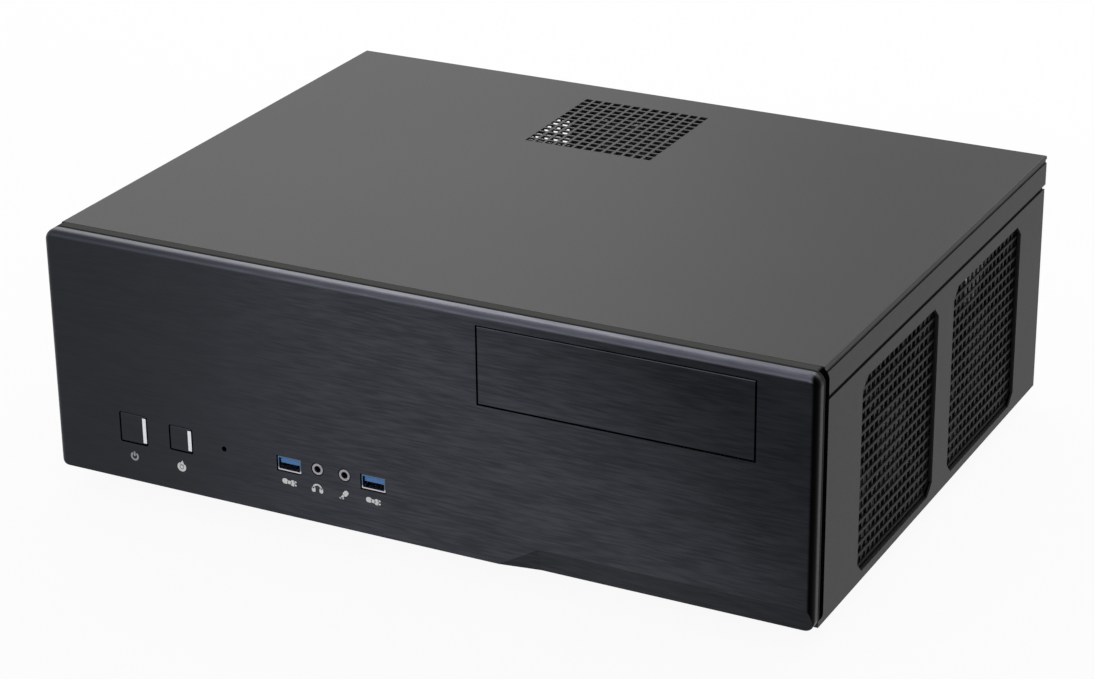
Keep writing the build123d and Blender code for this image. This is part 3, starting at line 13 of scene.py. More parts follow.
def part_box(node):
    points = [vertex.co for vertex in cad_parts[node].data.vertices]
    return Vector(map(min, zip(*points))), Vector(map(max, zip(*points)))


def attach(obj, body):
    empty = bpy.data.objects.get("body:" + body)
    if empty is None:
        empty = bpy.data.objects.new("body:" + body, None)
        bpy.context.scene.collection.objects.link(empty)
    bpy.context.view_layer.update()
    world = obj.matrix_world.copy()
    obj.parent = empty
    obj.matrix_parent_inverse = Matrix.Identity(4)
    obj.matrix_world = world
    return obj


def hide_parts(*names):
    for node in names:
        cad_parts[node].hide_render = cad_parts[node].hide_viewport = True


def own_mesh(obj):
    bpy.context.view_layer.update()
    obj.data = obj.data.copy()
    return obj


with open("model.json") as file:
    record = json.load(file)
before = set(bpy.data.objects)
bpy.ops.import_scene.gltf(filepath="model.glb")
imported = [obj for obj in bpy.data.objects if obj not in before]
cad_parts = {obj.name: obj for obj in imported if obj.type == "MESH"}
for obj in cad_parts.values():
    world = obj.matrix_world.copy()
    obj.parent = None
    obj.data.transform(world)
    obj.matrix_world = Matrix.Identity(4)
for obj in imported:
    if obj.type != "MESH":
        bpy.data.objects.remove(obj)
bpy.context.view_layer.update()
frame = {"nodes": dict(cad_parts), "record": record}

MM = 0.001
COVER_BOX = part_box("top_cover")
GROOVE_DROP = 3.2 * MM                       # middle of the lid's groove below its top
LINE_DROP = 18.3 * MM                        # middle of the line below the lid's flange
GROOVE_LEVELS = (COVER_BOX[1].z - GROOVE_DROP, COVER_BOX[1].z - LINE_DROP)
GROOVE_HALF = 1.15 * MM
GROOVE_REACH = 1.8 * MM                      # how far in from the lid's sides the painted shade of the groove and line reaches
SOCKET_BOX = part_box("front_usb_shells")
SOCKET_LIP = (1.0 * MM, 2.2 * MM)            # the lower lip's bright metal fades into the painted blue reflection and shade between these heights


# ---------------------------------------------------------------- shader helpers
def linear(hex_colour):
    """Turn an sRGB hex colour into the linear RGBA that the shaders take."""
    parts = [int(hex_colour[i:i + 2], 16) / 255 for i in (1, 3, 5)]
    return [c / 12.92 if c <= 0.04045 else ((c + 0.055) / 1.055) ** 2.4 for c in parts] + [1.0]


def add(tree, kind, values=None, links=None):
    """Add a node: values set its inputs or its properties, links feed its inputs."""
    node = tree.nodes.new(kind)
    for name, value in (values or {}).items():
        if isinstance(name, int) or name in node.inputs:
            node.inputs[name].default_value = value
        else:
            setattr(node, name, value)
    for name, socket in (links or {}).items():
        tree.links.new(socket, node.inputs[name])
    return node


def new_material(name, **shader):
    """Start a material; shader gives the principled shader's own values."""
    material = bpy.data.materials.new(name)
    material.use_nodes = True
    tree = material.node_tree
    principled = tree.nodes["Principled BSDF"]
    for key, value in shader.items():
        principled.inputs[key.replace("_", " ")].default_value = value
    place = tree.nodes.new("ShaderNodeTexCoord").outputs["Object"]
    return material, tree, principled, place


def ramp_between(tree, factor, dark, light, low=0.3, high=0.7):
    """Colour ramp from one sRGB colour to another."""
    ramp = add(tree, "ShaderNodeValToRGB", links={"Fac": factor})
    ramp.color_ramp.elements[0].position = low
    ramp.color_ramp.elements[1].position = high
    ramp.color_ramp.elements[0].color = linear(dark)
    ramp.color_ramp.elements[1].color = linear(light)
    return ramp.outputs["Color"]


def ramp_value(tree, factor, low, high):
    """Number between low and high, led by a factor from 0 to 1."""
    return add(tree, "ShaderNodeMapRange", {"To Min": low, "To Max": high}, {"Value": factor}).outputs[0]


def noise_at(tree, place, scale, detail=2.0, stretch=(1, 1, 1)):
    """Noise whose features are 1/scale metres wide, stretched along the axes given small factors."""
    mapped = add(tree, "ShaderNodeMapping", {"Scale": stretch}, {"Vector": place})
    return add(tree, "ShaderNodeTexNoise", {"Scale": scale, "Detail": detail},
               {"Vector": mapped.outputs[0]}).outputs["Fac"]


def set_bump(tree, principled, height, distance, strength=1.0):
    """Feed a bump of a real height in metres into the shader's normal."""
    bump = add(tree, "ShaderNodeBump", {"Strength": strength, "Distance": distance}, {"Height": height})
    tree.links.new(bump.outputs[0], principled.inputs["Normal"])


def number(tree, operation, first, second=None):
    """Work out one number from one or two; each is a socket or a plain number."""
    node = add(tree, "ShaderNodeMath", {"operation": operation})
    for i, value in enumerate((first, second)):
        if isinstance(value, bpy.types.NodeSocket):
            tree.links.new(value, node.inputs[i])
        elif value is not None:
            node.inputs[i].default_value = value
    return node.outputs[0]


def step(tree, value, low, high):
    """0 below low, 1 above high and even between them; it runs backwards where low is the larger."""
    settings = {"From Min": low, "From Max": high, "interpolation_type": "SMOOTHSTEP"}
    return add(tree, "ShaderNodeMapRange", settings, {"Value": value}).outputs[0]


def times(tree, value, share):
    """A number multiplied by a share."""
    return number(tree, "MULTIPLY", value, share)


def parts_of(tree, vector):
    """The three numbers of a vector."""
    return add(tree, "ShaderNodeSeparateXYZ", links={0: vector}).outputs


def blend_colour(tree, share, first, second):
    """Mix of two colours; the second may be an sRGB hex value."""
    node = add(tree, "ShaderNodeMix", {"data_type": "RGBA"})
    tree.links.new(share, node.inputs[0])
    tree.links.new(first, node.inputs[6])
    if isinstance(second, str):
        node.inputs[7].default_value = linear(second)
    else:
        tree.links.new(second, node.inputs[7])
    return node.outputs[2]


# ---------------------------------------------------------------- finishes
def anodised_aluminium(name, dark, light, roughness=0.38):
    """Aluminium brushed along its width and anodised black: cool satin black with short level streaks.

    Painted shade makes the black deeper towards both ends, most of all at the upper right, and flattens
    the brushing on the left. A painted highlight makes the rounded upper edge a bright line; painted shade
    keeps the side edges nearly black and darkens the lower bevel.
    """
    material, tree, principled, place = new_material(name, Metallic=1.0, Anisotropic=0.3)
    # brushing: streaks some 14 mm long and 1.2 mm high, drawn coarser than the real ones to show
    streak = noise_at(tree, place, 1.0, 4.0, (70, 500, 850))
    patch = noise_at(tree, place, 1.0, 2.0, (25, 60, 110))
    brushing = number(tree, "ADD", times(tree, streak, 0.7), times(tree, patch, 0.3))
    face = ramp_between(tree, brushing, dark, light, 0.38, 0.62)
    x, _, z = parts_of(tree, place)
    # painted shade: the face is flattened and darkened towards the left end and darkened towards the upper
    # right, in place of the fall-off of its sheen
    face = blend_colour(tree, times(tree, step(tree, x, -0.01, -0.15), 0.75), face, "#36383d")
    face = blend_colour(tree, times(tree, step(tree, x, -0.01, -0.22), 0.38), face, "#000000")
    slant = number(tree, "ADD", x, z)
    face = blend_colour(tree, times(tree, step(tree, slant, 0.12, 0.33), 0.66), face, "#000000")
    # edges, told by the way the surface faces: a painted highlight on the upper rounding, dimmer to the
    # left
    across, _, upward = parts_of(tree, place.node.outputs["Normal"])
    painted_edge_highlight = ramp_between(tree, streak, "#464750", "#52535b")
    painted_edge_highlight = blend_colour(tree, step(tree, x, 0.02, -0.22), painted_edge_highlight, "#32333a")
    colour = blend_colour(tree, step(tree, upward, 0.28, 0.5), face, painted_edge_highlight)
    # painted shade: faces turned to the sides go nearly black
    colour = blend_colour(tree, step(tree, across, 0.15, 0.5), colour, "#050506")
    # painted shade: the downward-facing lower bevel is darkened
    bevel = times(tree, step(tree, upward, -0.1, -0.2), 0.45)
    tree.links.new(blend_colour(tree, bevel, colour, "#000000"), principled.inputs["Base Color"])
    sheen = ramp_value(tree, brushing, roughness + 0.08, roughness - 0.08)
    tree.links.new(sheen, principled.inputs["Roughness"])
    set_bump(tree, principled, brushing, 0.00002, 0.25)
    return material


def powder_coat(name, dark, light, roughness=0.5, specular=0.22):
    """Steel with a fine black powder coat: even colour, low orange peel of about a millimetre.

    Painted shade makes the folded groove of the lid and the line under its flange black.
    """
    material, tree, principled, place = new_material(name, IOR=1.5)
    principled.inputs["Specular IOR Level"].default_value = specular
    peel = noise_at(tree, place, 900.0, 2.0)
    cloud = noise_at(tree, place, 7.0, 2.0)
    colour = ramp_between(tree, cloud, dark, light, 0.35, 0.65)
    x, _, z = parts_of(tree, place)
    outermost = number(tree, "GREATER_THAN", number(tree, "ABSOLUTE", x), COVER_BOX[1].x - GROOVE_REACH)
    # painted shade: the groove and the line under the flange are painted near black, as shade in these
    # recesses
    for level in GROOVE_LEVELS:
        off = number(tree, "ABSOLUTE", number(tree, "SUBTRACT", z, level))
        share = times(tree, outermost, number(tree, "LESS_THAN", off, GROOVE_HALF))
        colour = blend_colour(tree, share, colour, "#030303")
    tree.links.new(colour, principled.inputs["Base Color"])
    sheen = ramp_value(tree, peel, roughness - 0.05, roughness + 0.05)
    tree.links.new(sheen, principled.inputs["Roughness"])
    set_bump(tree, principled, peel, 0.00002, 0.25)
    return material


def carrier_plastic():
    """Plain moulded black ABS behind the fascia, matt, with light and shade painted into its colour: a
    painted sheen makes its upper edge grey, and painted shade makes its ends nearly black.
    """
    material, tree, principled, place = new_material("matt_black_abs", IOR=1.53)
    principled.inputs["Specular IOR Level"].default_value = 0.0
    grains = noise_at(tree, place, 1800.0, 3.0)
    across = parts_of(tree, place.node.outputs["Normal"])[0]
    # painted shade: faces turned to the sides go nearly black against the painted grey sheen of the upper
    # edge
    end = step(tree, number(tree, "ABSOLUTE", across), 0.15, 0.45)
    colour = blend_colour(tree, end, ramp_between(tree, grains, "#4b4b4a", "#535352"), "#040404")
    tree.links.new(colour, principled.inputs["Base Color"])
    tree.links.new(ramp_value(tree, grains, 0.55, 0.7), principled.inputs["Roughness"])
    return material


def socket_steel():
    """Nickel-plated data socket shell: bright below, with a painted reflection of the blue tongue and
    painted shade making it dark blue above.
    """
    material, tree, principled, place = new_material("nickel_plated_socket_steel", Metallic=1.0)
    lines = noise_at(tree, place, 1.0, 3.0, (400, 400, 2500))
    z = parts_of(tree, place)[2]
    # painted reflection and shade: dark blue above the lower lip
    painted_blue_reflection = step(tree, z, SOCKET_BOX[0].z + SOCKET_LIP[0], SOCKET_BOX[0].z + SOCKET_LIP[1])
    colour = blend_colour(tree, painted_blue_reflection, ramp_between(tree, lines, "#b3aeb2", "#cfc9cc"), "#52647a")
    tree.links.new(colour, principled.inputs["Base Color"])
    principled.inputs["Roughness"].default_value = 0.3
    return material


def zinc_plate():
    """Steel sheet with a zinc coat: pale grey with faint crystal patches of a few millimetres."""
    material, tree, principled, place = new_material("zinc_plated_steel", Metallic=1.0)
    cells = add(tree, "ShaderNodeTexVoronoi", {"Scale": 160.0}, {"Vector": place})
    tone = add(tree, "ShaderNodeSeparateColor", links={"Color": cells.outputs["Color"]}).outputs[0]
    zinc = ramp_between(tree, tone, "#a9acae", "#c3c6c8", 0.0, 1.0)
    tree.links.new(zinc, principled.inputs["Base Color"])
    tree.links.new(ramp_value(tree, tone, 0.32, 0.46), principled.inputs["Roughness"])
    set_bump(tree, principled, noise_at(tree, place, 1500.0), 0.00001, 0.2)
    return material


def moulded_plastic(name, dark, light, roughness=0.45, grain=1800.0):
    """Injection-moulded plastic: even colour with a spark-eroded grain of about half a millimetre."""
    material, tree, principled, place = new_material(name, IOR=1.53)
    grains = noise_at(tree, place, grain, 3.0)
    tree.links.new(ramp_between(tree, grains, dark, light), principled.inputs["Base Color"])
    sheen = ramp_value(tree, grains, roughness - 0.06, roughness + 0.08)
    tree.links.new(sheen, principled.inputs["Roughness"])
    set_bump(tree, principled, grains, 0.00003, 0.4)
    return material


def plated_metal(name, dark, light, roughness=0.22):
    """Nickel plate over stamped sheet: bright, with faint drawing lines."""
    material, tree, principled, place = new_material(name, Metallic=1.0)
    lines = noise_at(tree, place, 1.0, 4.0, (300, 2500, 2500))
    tree.links.new(ramp_between(tree, lines, dark, light), principled.inputs["Base Color"])
    sheen = ramp_value(tree, lines, roughness - 0.06, roughness + 0.1)
    tree.links.new(sheen, principled.inputs["Roughness"])
    return material


def circuit_laminate():
    """Glass laminate under dark solder mask: track bundles show as slightly raised, lighter lines."""
    material, tree, principled, place = new_material("solder_mask_laminate", IOR=1.5, Coat_Weight=0.3)
    tracks = add(tree, "ShaderNodeTexBrick", {"Scale": 55.0, "Mortar Size": 0.02, "Color1": (1, 1, 1, 1),
                                              "Color2": (0.6, 0.6, 0.6, 1), "Mortar": (0, 0, 0, 1)},
                 {"Vector": place})
    wide = noise_at(tree, place, 60.0, 3.0)
    joined = add(tree, "ShaderNodeMath", {"operation": "MULTIPLY"},
                 {0: tracks.outputs["Color"], 1: wide}).outputs[0]
    mask = ramp_between(tree, joined, "#0d1f1a", "#1b3a2f", 0.2, 0.6)
    tree.links.new(mask, principled.inputs["Base Color"])
    principled.inputs["Roughness"].default_value = 0.35
    set_bump(tree, principled, joined, 0.00005, 0.4)
    return material


def light_acrylic():
    """Milky acrylic light bar: white, slightly lit by the lamp behind it."""
    material, tree, principled, place = new_material("milky_acrylic", IOR=1.49, Roughness=0.3)
    haze = noise_at(tree, place, 700.0)
    tree.links.new(ramp_between(tree, haze, "#e2e5ea", "#f7f8fa"), principled.inputs["Base Color"])
    principled.inputs["Emission Color"].default_value = linear("#eef3ff")
    principled.inputs["Emission Strength"].default_value = 0.15
    return material


def cast_metal():
    """Sand-blasted die-cast aluminium of the drive: pale grey with a pebbled surface."""
    material, tree, principled, place = new_material("blasted_die_cast_aluminium", Metallic=0.9)
    pebbles = noise_at(tree, place, 1600.0, 4.0)
    tree.links.new(ramp_between(tree, pebbles, "#7b7e81", "#a3a6a8"), principled.inputs["Base Color"])
    tree.links.new(ramp_value(tree, pebbles, 0.4, 0.6), principled.inputs["Roughness"])
    set_bump(tree, principled, pebbles, 0.00005, 0.5)
    return material


def rubber():
    """Moulded rubber of the pads: matt, nearly black, slightly dusty."""
    material, tree, principled, place = new_material("moulded_rubber", IOR=1.52)
    dust = noise_at(tree, place, 400.0, 4.0)
    tree.links.new(ramp_between(tree, dust, "#141414", "#242424"), principled.inputs["Base Color"])
    tree.links.new(ramp_value(tree, dust, 0.75, 0.92), principled.inputs["Roughness"])
    set_bump(tree, principled, dust, 0.00004, 0.4)
    return material


def printed_ink(name, dark, light):
    """Screen-printed ink on the fascia: nearly white, matt, a little thin in places."""
    material, tree, principled, place = new_material(name, IOR=1.5, Roughness=0.6)
    cover = noise_at(tree, place, 1500.0)
    tree.links.new(ramp_between(tree, cover, dark, light), principled.inputs["Base Color"])
    return material


def label_film(name, dark, light, roughness):
    """Blank adhesive label: smooth film with a faint fibre."""
    material, tree, principled, place = new_material(name, IOR=1.5)
    fibre = noise_at(tree, place, 900.0, 3.0, (1, 0.3, 1))
    tree.links.new(ramp_between(tree, fibre, dark, light), principled.inputs["Base Color"])
    tree.links.new(ramp_value(tree, fibre, roughness, roughness + 0.1), principled.inputs["Roughness"])
    return material


FINISHES = {
    "black_aluminium": anodised_aluminium("brushed_black_anodised_aluminium", "#323439", "#3f4147"),
    "black_steel": powder_coat("fine_black_powder_coat", "#1f1f1e", "#232322"),
    "zinc_steel": zinc_plate(),
    "black_plastic": moulded_plastic("moulded_black_abs", "#17171a", "#202023"),
    "grey_plastic": moulded_plastic("moulded_grey_abs", "#232322", "#292928", 0.5),
    "mesh_steel": powder_coat("powder_coat_on_mesh", "#111110", "#161615", 0.55, 0.13),
    "smoked_lens": moulded_plastic("smoked_acrylic", "#08080a", "#0c0c0e", 0.2),
    "white_print": printed_ink("white_screen_ink", "#d9dadb", "#eeefef"),
    "grey_print": printed_ink("grey_screen_ink", "#97989a", "#a9aaac"),
    "gold_plate": plated_metal("gold_plated_contacts", "#c79a45", "#e0bb68", 0.25),
    "black_screw": plated_metal("black_oxide_screws", "#2b2b2d", "#3c3c3e", 0.35),
    "pink_nylon": moulded_plastic("pink_nylon", "#b8707f", "#c98492"),
    "green_nylon": moulded_plastic("green_nylon", "#6f9a3c", "#84ae50"),
    "white_nylon": moulded_plastic("natural_nylon", "#d0cdc2", "#dedbd1"),
    "can_aluminium": plated_metal("drawn_aluminium_cans", "#b4b6b8", "#d0d2d3", 0.3),
    "ferrite": moulded_plastic("pressed_ferrite", "#2c2c2e", "#3a3a3c", 0.6, 900.0),
    "chip_epoxy": moulded_plastic("epoxy_chip_packages", "#141416", "#1c1c1e", 0.5),
    "label_paper": label_film("white_label_paper", "#d6d6d2", "#e4e4e0", 0.5),
    "label_foil": label_film("dark_label_film", "#1d1e20", "#26272a", 0.4),
    "light_bar": light_acrylic(),
    "port_blue": moulded_plastic("blue_nylon", "#2f6daf", "#4a86c4", 0.35),
    # painted shade: a dark copy of the blue nylon, for the backs of the data sockets deep in their shells
    "deep_blue": moulded_plastic("blue_nylon_in_shade", "#041a40", "#0a2450", 0.5),
    "jack_nickel": plated_metal("dull_nickel", "#8c8a90", "#a5a3a9", 0.35),
    "port_metal": plated_metal("nickel_plated_steel", "#b9babb", "#dcddde"),
    "circuit_board": circuit_laminate(),
    "rubber": rubber(),
    "bare_aluminium": plated_metal("extruded_aluminium", "#a8abae", "#c9ccce", 0.35),
    "drive_metal": cast_metal(),
    "steel_wire": plated_metal("nickel_plated_wire", "#b0b1b3", "#d6d7d8", 0.2),
    "spring_steel": plated_metal("spring_steel", "#8f9092", "#b5b6b8", 0.3),
    "fan_plastic": moulded_plastic("moulded_black_pbt", "#121214", "#1b1b1e", 0.4),
}


NODE_FINISHES = {"fascia_carrier": carrier_plastic(), "front_usb_shells": socket_steel()}


def dress_nodes():
    """Give every CAD node its own finish, or else the finish of its material slot."""
    slots = {part["node"]: part["material_slot"] for part in frame["record"]["subparts"]}
    for name, node in frame["nodes"].items():
        node.data.materials.clear()
        node.data.materials.append(NODE_FINISHES.get(name) or FINISHES[slots[name]])


# ---------------------------------------------------------------- modelling helpers
FRONT_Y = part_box("front_wall")[0].y          # front of the steel case
FLOOR_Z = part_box("floor_pan")[0].z           # underside of the floor


def at(x, y, z):
    """Point given in millimetres from the middle, the front wall and the underside of the floor."""
    return Vector((x * MM, FRONT_Y + y * MM, FLOOR_Z + z * MM))


def object_mode():
    if bpy.context.mode != "OBJECT":
        bpy.ops.object.mode_set(mode="OBJECT")


def only(*pieces):
    """Select these pieces and nothing else; the first is the active one."""
    object_mode()
    bpy.ops.object.select_all(action="DESELECT")
    for piece in pieces:
        piece.select_set(True)
    bpy.context.view_layer.objects.active = pieces[0]
    return pieces[0]


def primitive(kind, name, stretch=(1, 1, 1), **options):
    """Add a primitive in millimetres at the origin, stretch it, and stay in edit mode."""
    object_mode()
    bpy.ops.object.select_all(action="DESELECT")
    getattr(bpy.ops.mesh, f"primitive_{kind}_add")(**options)
    piece = bpy.context.active_object
    piece.name = name
    bpy.ops.object.mode_set(mode="EDIT")
    bpy.ops.transform.resize(value=stretch)
    return piece


def choose(kind, test):
    """In edit mode, select the faces, edges or corners that pass a test."""
    bpy.ops.mesh.select_mode(type=kind)
    bpy.ops.mesh.select_all(action="DESELECT")
    data = bpy.context.active_object.data
    mesh = bmesh.from_edit_mesh(data)
    for item in {"VERT": mesh.verts, "EDGE": mesh.edges, "FACE": mesh.faces}[kind]:
        if test(item):
            item.select_set(True)
    bmesh.update_edit_mesh(data)


def facing(axis, sign, level=None):
    """Test for faces whose normal points along an axis, and which lie at a level when one is given."""
    def test(face):
        along = face.normal[axis] * sign > 0.9
        return along and (level is None or abs(face.calc_center_median()[axis] - level) < 0.01)
    return test


def modify(piece, kind, **settings):
    """Add a modifier and apply it."""
    only(piece)
    modifier = piece.modifiers.new("shape", kind)
    for name, value in settings.items():
        setattr(modifier, name, value)
    bpy.ops.object.modifier_apply(modifier=modifier.name)
    return piece


def rounded(piece, width, segments=2, angle=40):
    """Round the sharp edges by a width in millimetres."""
    return modify(piece, "BEVEL", width=width, segments=segments, limit_method="ANGLE",
                  angle_limit=radians(angle))


def joined(name, pieces):
    """Make one piece of several."""
    piece = only(*pieces)
    if len(pieces) > 1:
        bpy.ops.object.join()
    piece.name = name
    return piece


def copied(name, model, places):
    """Copy a model to each place, given as x, y, z in millimetres and turns in degrees; drop the model."""
    copies = []
    for x, y, z, *turns in places:
        only(model)
        bpy.ops.object.duplicate()
        copy = bpy.context.active_object
        copy.rotation_euler = [radians(turn) for turn in (turns or (0, 0, 0))]
        copy.location = (x, y, z)
        bpy.ops.object.transform_apply(location=True, rotation=True, scale=True)
        copies.append(copy)
    bpy.data.objects.remove(model)
    return joined(name, copies)


def settle(piece, finish, body="case", smooth=35):
    """Bring a piece modelled in case millimetres into the frame, finish it and let it ride."""
    only(piece)
    bpy.ops.object.shade_smooth_by_angle(angle=radians(smooth))
    piece.scale = (MM, MM, MM)
    piece.location = at(0, 0, 0)
    bpy.ops.object.transform_apply(location=True, rotation=True, scale=True)
    piece.data.materials.clear()
    piece.data.materials.append(FINISHES[finish])
    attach(piece, body)
    return piece


def block(name, size, middle=(0, 0, 0), edge=0.0, segments=2):
    """Box of a size in millimetres with rounded edges."""
    piece = primitive("cube", name, size, size=1)
    bpy.ops.transform.translate(value=middle)
    object_mode()
    return rounded(piece, edge, segments) if edge else piece


def ring(name, outer, inner, low, high, edge=0.0, sides=32):
    """Ring round Z: a cylinder whose two ends are inset and bridged."""
    piece = primitive("cylinder", name, vertices=sides, radius=outer, depth=high - low,
                      location=(0, 0, (low + high) / 2))
    choose("FACE", lambda face: abs(face.normal.z) > 0.9)
    bpy.ops.mesh.inset(thickness=outer - inner)
    bpy.ops.mesh.bridge_edge_loops()
    object_mode()
    only(piece)
    bpy.ops.object.transform_apply(location=True)
    return rounded(piece, edge) if edge else piece


def disc(name, radius, low, high, edge=0.0, sides=32):
    """Low round block along Z with a rounded upper rim."""
    piece = primitive("cylinder", name, vertices=sides, radius=radius, depth=high - low,
                      location=(0, 0, (low + high) / 2))
    object_mode()
    only(piece)
    bpy.ops.object.transform_apply(location=True)
    return rounded(piece, edge) if edge else piece


def sunk(piece, tool):
    """Take a tool's shape out of a piece."""
    modify(piece, "BOOLEAN", object=tool, operation="DIFFERENCE", solver="EXACT",
           use_self=True)
    bpy.data.objects.remove(tool)
    return piece


def screw_head(name, radius, height):
    """Pan head along Z with a cross recess."""
    head = disc(name, radius, 0, height, edge=height * 0.55, sides=24)
    cross = joined("recess", [block("slot", (radius * 1.1, radius * 0.26, height), (0, 0, height)),
                              block("slot", (radius * 0.26, radius * 1.1, height), (0, 0, height))])
    return sunk(head, cross)


# ---------------------------------------------------------------- places, in millimetres from the case
def box_mm(node):
    """Lowest and highest corners of a CAD node in case millimetres."""
    base = at(0, 0, 0)
    return [(corner - base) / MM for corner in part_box(node)]


def middle_mm(node):
    low, high = box_mm(node)
    return (low + high) / 2


FASCIA_FACE = box_mm("front_fascia")[0].y
REAR_FACE = box_mm("rear_wall")[1].y
POWER_X, RESET_X = middle_mm("power_button").x, middle_mm("reset_button").x
HEADPHONE_X, MICROPHONE_X = middle_mm("headphone_jack").x, middle_mm("microphone_jack").x
JACK_Z = 33.8
JACK_FACE = box_mm("headphone_jack")[0].y
SHELLS_LOW, SHELLS_HIGH = box_mm("front_usb_shells")
TONGUES_LOW, TONGUES_HIGH = box_mm("front_usb_tongues")
DATA_HALF = 7.1                              # half the width of a data socket's lip
DATA_LEFT, DATA_RIGHT = SHELLS_LOW.x + DATA_HALF, SHELLS_HIGH.x - DATA_HALF
SIGN_LOW = 17.4                              # height of the signs below the buttons
SIGN_HIGH = 22.6                             # height of the signs below the sockets
SIGN_SHIFT = 0.5                             # signs stand a little left of what they name
BOARD_TOP = box_mm("motherboard")[1].z


# ---------------------------------------------------------------- printed marks
PRINT_THICKNESS = 0.06
STROKE = 0.75


def arc(radius, start, sweep, width=STROKE, middle=(0, 0), steps=24):
    """Flat band along part of a circle, spun from a short edge; angles are in degrees."""
    piece = primitive("plane", "arc", (width, width, 1), size=1)
    choose("VERT", lambda corner: corner.co.y > 0)
    bpy.ops.mesh.delete(type="VERT")
    bpy.ops.mesh.select_all(action="SELECT")
    bpy.ops.transform.translate(value=(radius, width / 2, 0))
    bpy.ops.transform.rotate(value=-radians(start), orient_axis="Z", center_override=(0, 0, 0))
    bpy.ops.mesh.spin(steps=steps, angle=-radians(sweep), center=(0, 0, 0), axis=(0, 0, 1))
    bpy.ops.mesh.select_all(action="SELECT")
    bpy.ops.mesh.remove_doubles(threshold=0.001)
    bpy.ops.mesh.normals_make_consistent(inside=False)
    bpy.ops.transform.translate(value=(*middle, 0))
    object_mode()
    return piece


def bar(x, y, width, height, turn=0.0):
    """Flat bar with rounded corners."""
    piece = primitive("plane", "bar", (width, height, 1), size=1)
    bpy.ops.mesh.bevel(offset=min(width, height) * 0.4, segments=3, affect="VERTICES")
    bpy.ops.transform.rotate(value=-radians(turn), orient_axis="Z", center_override=(0, 0, 0))
    bpy.ops.transform.translate(value=(x, y, 0))
    object_mode()
    return piece


def dot(x, y, radius):
    """Flat round dot."""
    piece = primitive("circle", "dot", vertices=24, radius=radius, fill_type="NGON")
    bpy.ops.mesh.inset(thickness=radius * 0.3)
    bpy.ops.transform.translate(value=(0, 0, 0))
    bpy.ops.mesh.select_all(action="SELECT")
    bpy.ops.transform.translate(value=(x, y, 0))
    object_mode()
    return piece


def arrow_head(x, y, size, turn):
    """Flat triangle; it points up before its turn."""
    piece = primitive("circle", "arrow", vertices=3, radius=size, fill_type="NGON")
    bpy.ops.transform.rotate(value=-radians(turn), orient_axis="Z", center_override=(0, 0, 0))
    bpy.ops.transform.translate(value=(x, y, 0))
    object_mode()
    return piece


def printed(name, x, z, strokes, finish="white_print"):
    """Turn flat strokes into one printed mark that stands on the fascia."""
    mark = joined(name, strokes)
    modify(mark, "SOLIDIFY", thickness=PRINT_THICKNESS, offset=0)
    only(mark)
    mark.rotation_euler = (radians(90), 0, 0)
    mark.location = (x, FASCIA_FACE - PRINT_THICKNESS / 2, z)
    bpy.ops.object.transform_apply(location=True, rotation=True)
    return settle(mark, finish, smooth=20)


def make_marks():
    """Signs below the buttons and sockets: power, restart, data plug, headphones, microphone."""
    printed("power_sign", POWER_X - SIGN_SHIFT, SIGN_LOW,
            [arc(2.0, 125, 290, 1.1), bar(0, 1.4, 1.1, 2.8)], "grey_print")
    printed("restart_sign", RESET_X - SIGN_SHIFT, SIGN_LOW,
            [arc(2.0, 110, 290, 1.4), arrow_head(0.35, 2.2, 1.7, 110), dot(0, 0, 1.0)])
    for side, x in (("left", DATA_LEFT), ("right", DATA_RIGHT)):
        printed(f"data_sign_{side}", x - SIGN_SHIFT, SIGN_HIGH,
                [bar(-2.2, 0.3, 3.4, 3.0), bar(0.4, 0.0, 2.6, 2.0), bar(2.4, -0.1, 2.4, 3.4),
                 bar(3.9, 0.8, 1.6, 1.0), bar(3.9, -1.0, 1.6, 1.0)])
    printed("headphone_sign", HEADPHONE_X - SIGN_SHIFT, SIGN_HIGH,
            [arc(2.4, 0, 180, 0.9, (0, -0.1)), bar(-2.3, -0.8, 2.2, 2.9), bar(2.3, -0.8, 2.2, 2.9)])
    printed("microphone_sign", MICROPHONE_X - SIGN_SHIFT, SIGN_HIGH,
            [bar(0.9, 0.8, 2.7, 3.6, -40), bar(-1.1, -1.4, 1.2, 2.8, -40), bar(-1.6, -2.3, 2.6, 0.9)])


# ---------------------------------------------------------------- front sockets
CONTACT_OFFSETS = (-3.5, -1.2, 1.2, 3.5)     # contacts of a data socket from its middle


def make_jack_rings():
    """Nickel ring let into the face of each jack, round its bore."""
    for name, x in (("headphone_ring", HEADPHONE_X), ("microphone_ring", MICROPHONE_X)):
        model = ring("ring", 3.2, 1.9, 0, 0.35, edge=0.15)
        settle(copied(name, model, [(x, JACK_FACE, JACK_Z, 90, 0, 0)]), "jack_nickel")


def make_socket_backs():
    """Blue insulator at the back of each data socket, with the step that carries the tongue."""
    for side, x in (("left", DATA_LEFT), ("right", DATA_RIGHT)):
        z = (SHELLS_LOW.z + SHELLS_HIGH.z) / 2
        wall = block("wall", (12.0, 0.8, 4.8), (x, TONGUES_HIGH.y - 0.5, z), edge=0.2)
        stepped = block("step", (11.8, 1.2, 3.2), (x, TONGUES_HIGH.y - 1.2, z + 0.6), edge=0.2)
        # painted shade: the insulator takes the dark copy of the blue nylon, as the shade deep in the
        # socket
        settle(joined(f"data_socket_back_{side}", [wall, stepped]), "deep_blue")


def make_data_contacts():
    """Gold contacts under each data socket's tongue."""
    depth = TONGUES_HIGH.y - TONGUES_LOW.y
    for side, x in (("left", DATA_LEFT), ("right", DATA_RIGHT)):
        model = block("contact", (1.1, depth * 0.6, 0.25), edge=0.08)
        places = [(x + offset, TONGUES_LOW.y + depth * 0.45, TONGUES_LOW.z - 0.1)
                  for offset in CONTACT_OFFSETS]
        settle(copied(f"data_contacts_{side}", model, places), "gold_plate")


# ---------------------------------------------------------------- return springs
SPRING_TURNS = 4
SPRING_WIRE = 0.4                            # wire diameter of a return spring


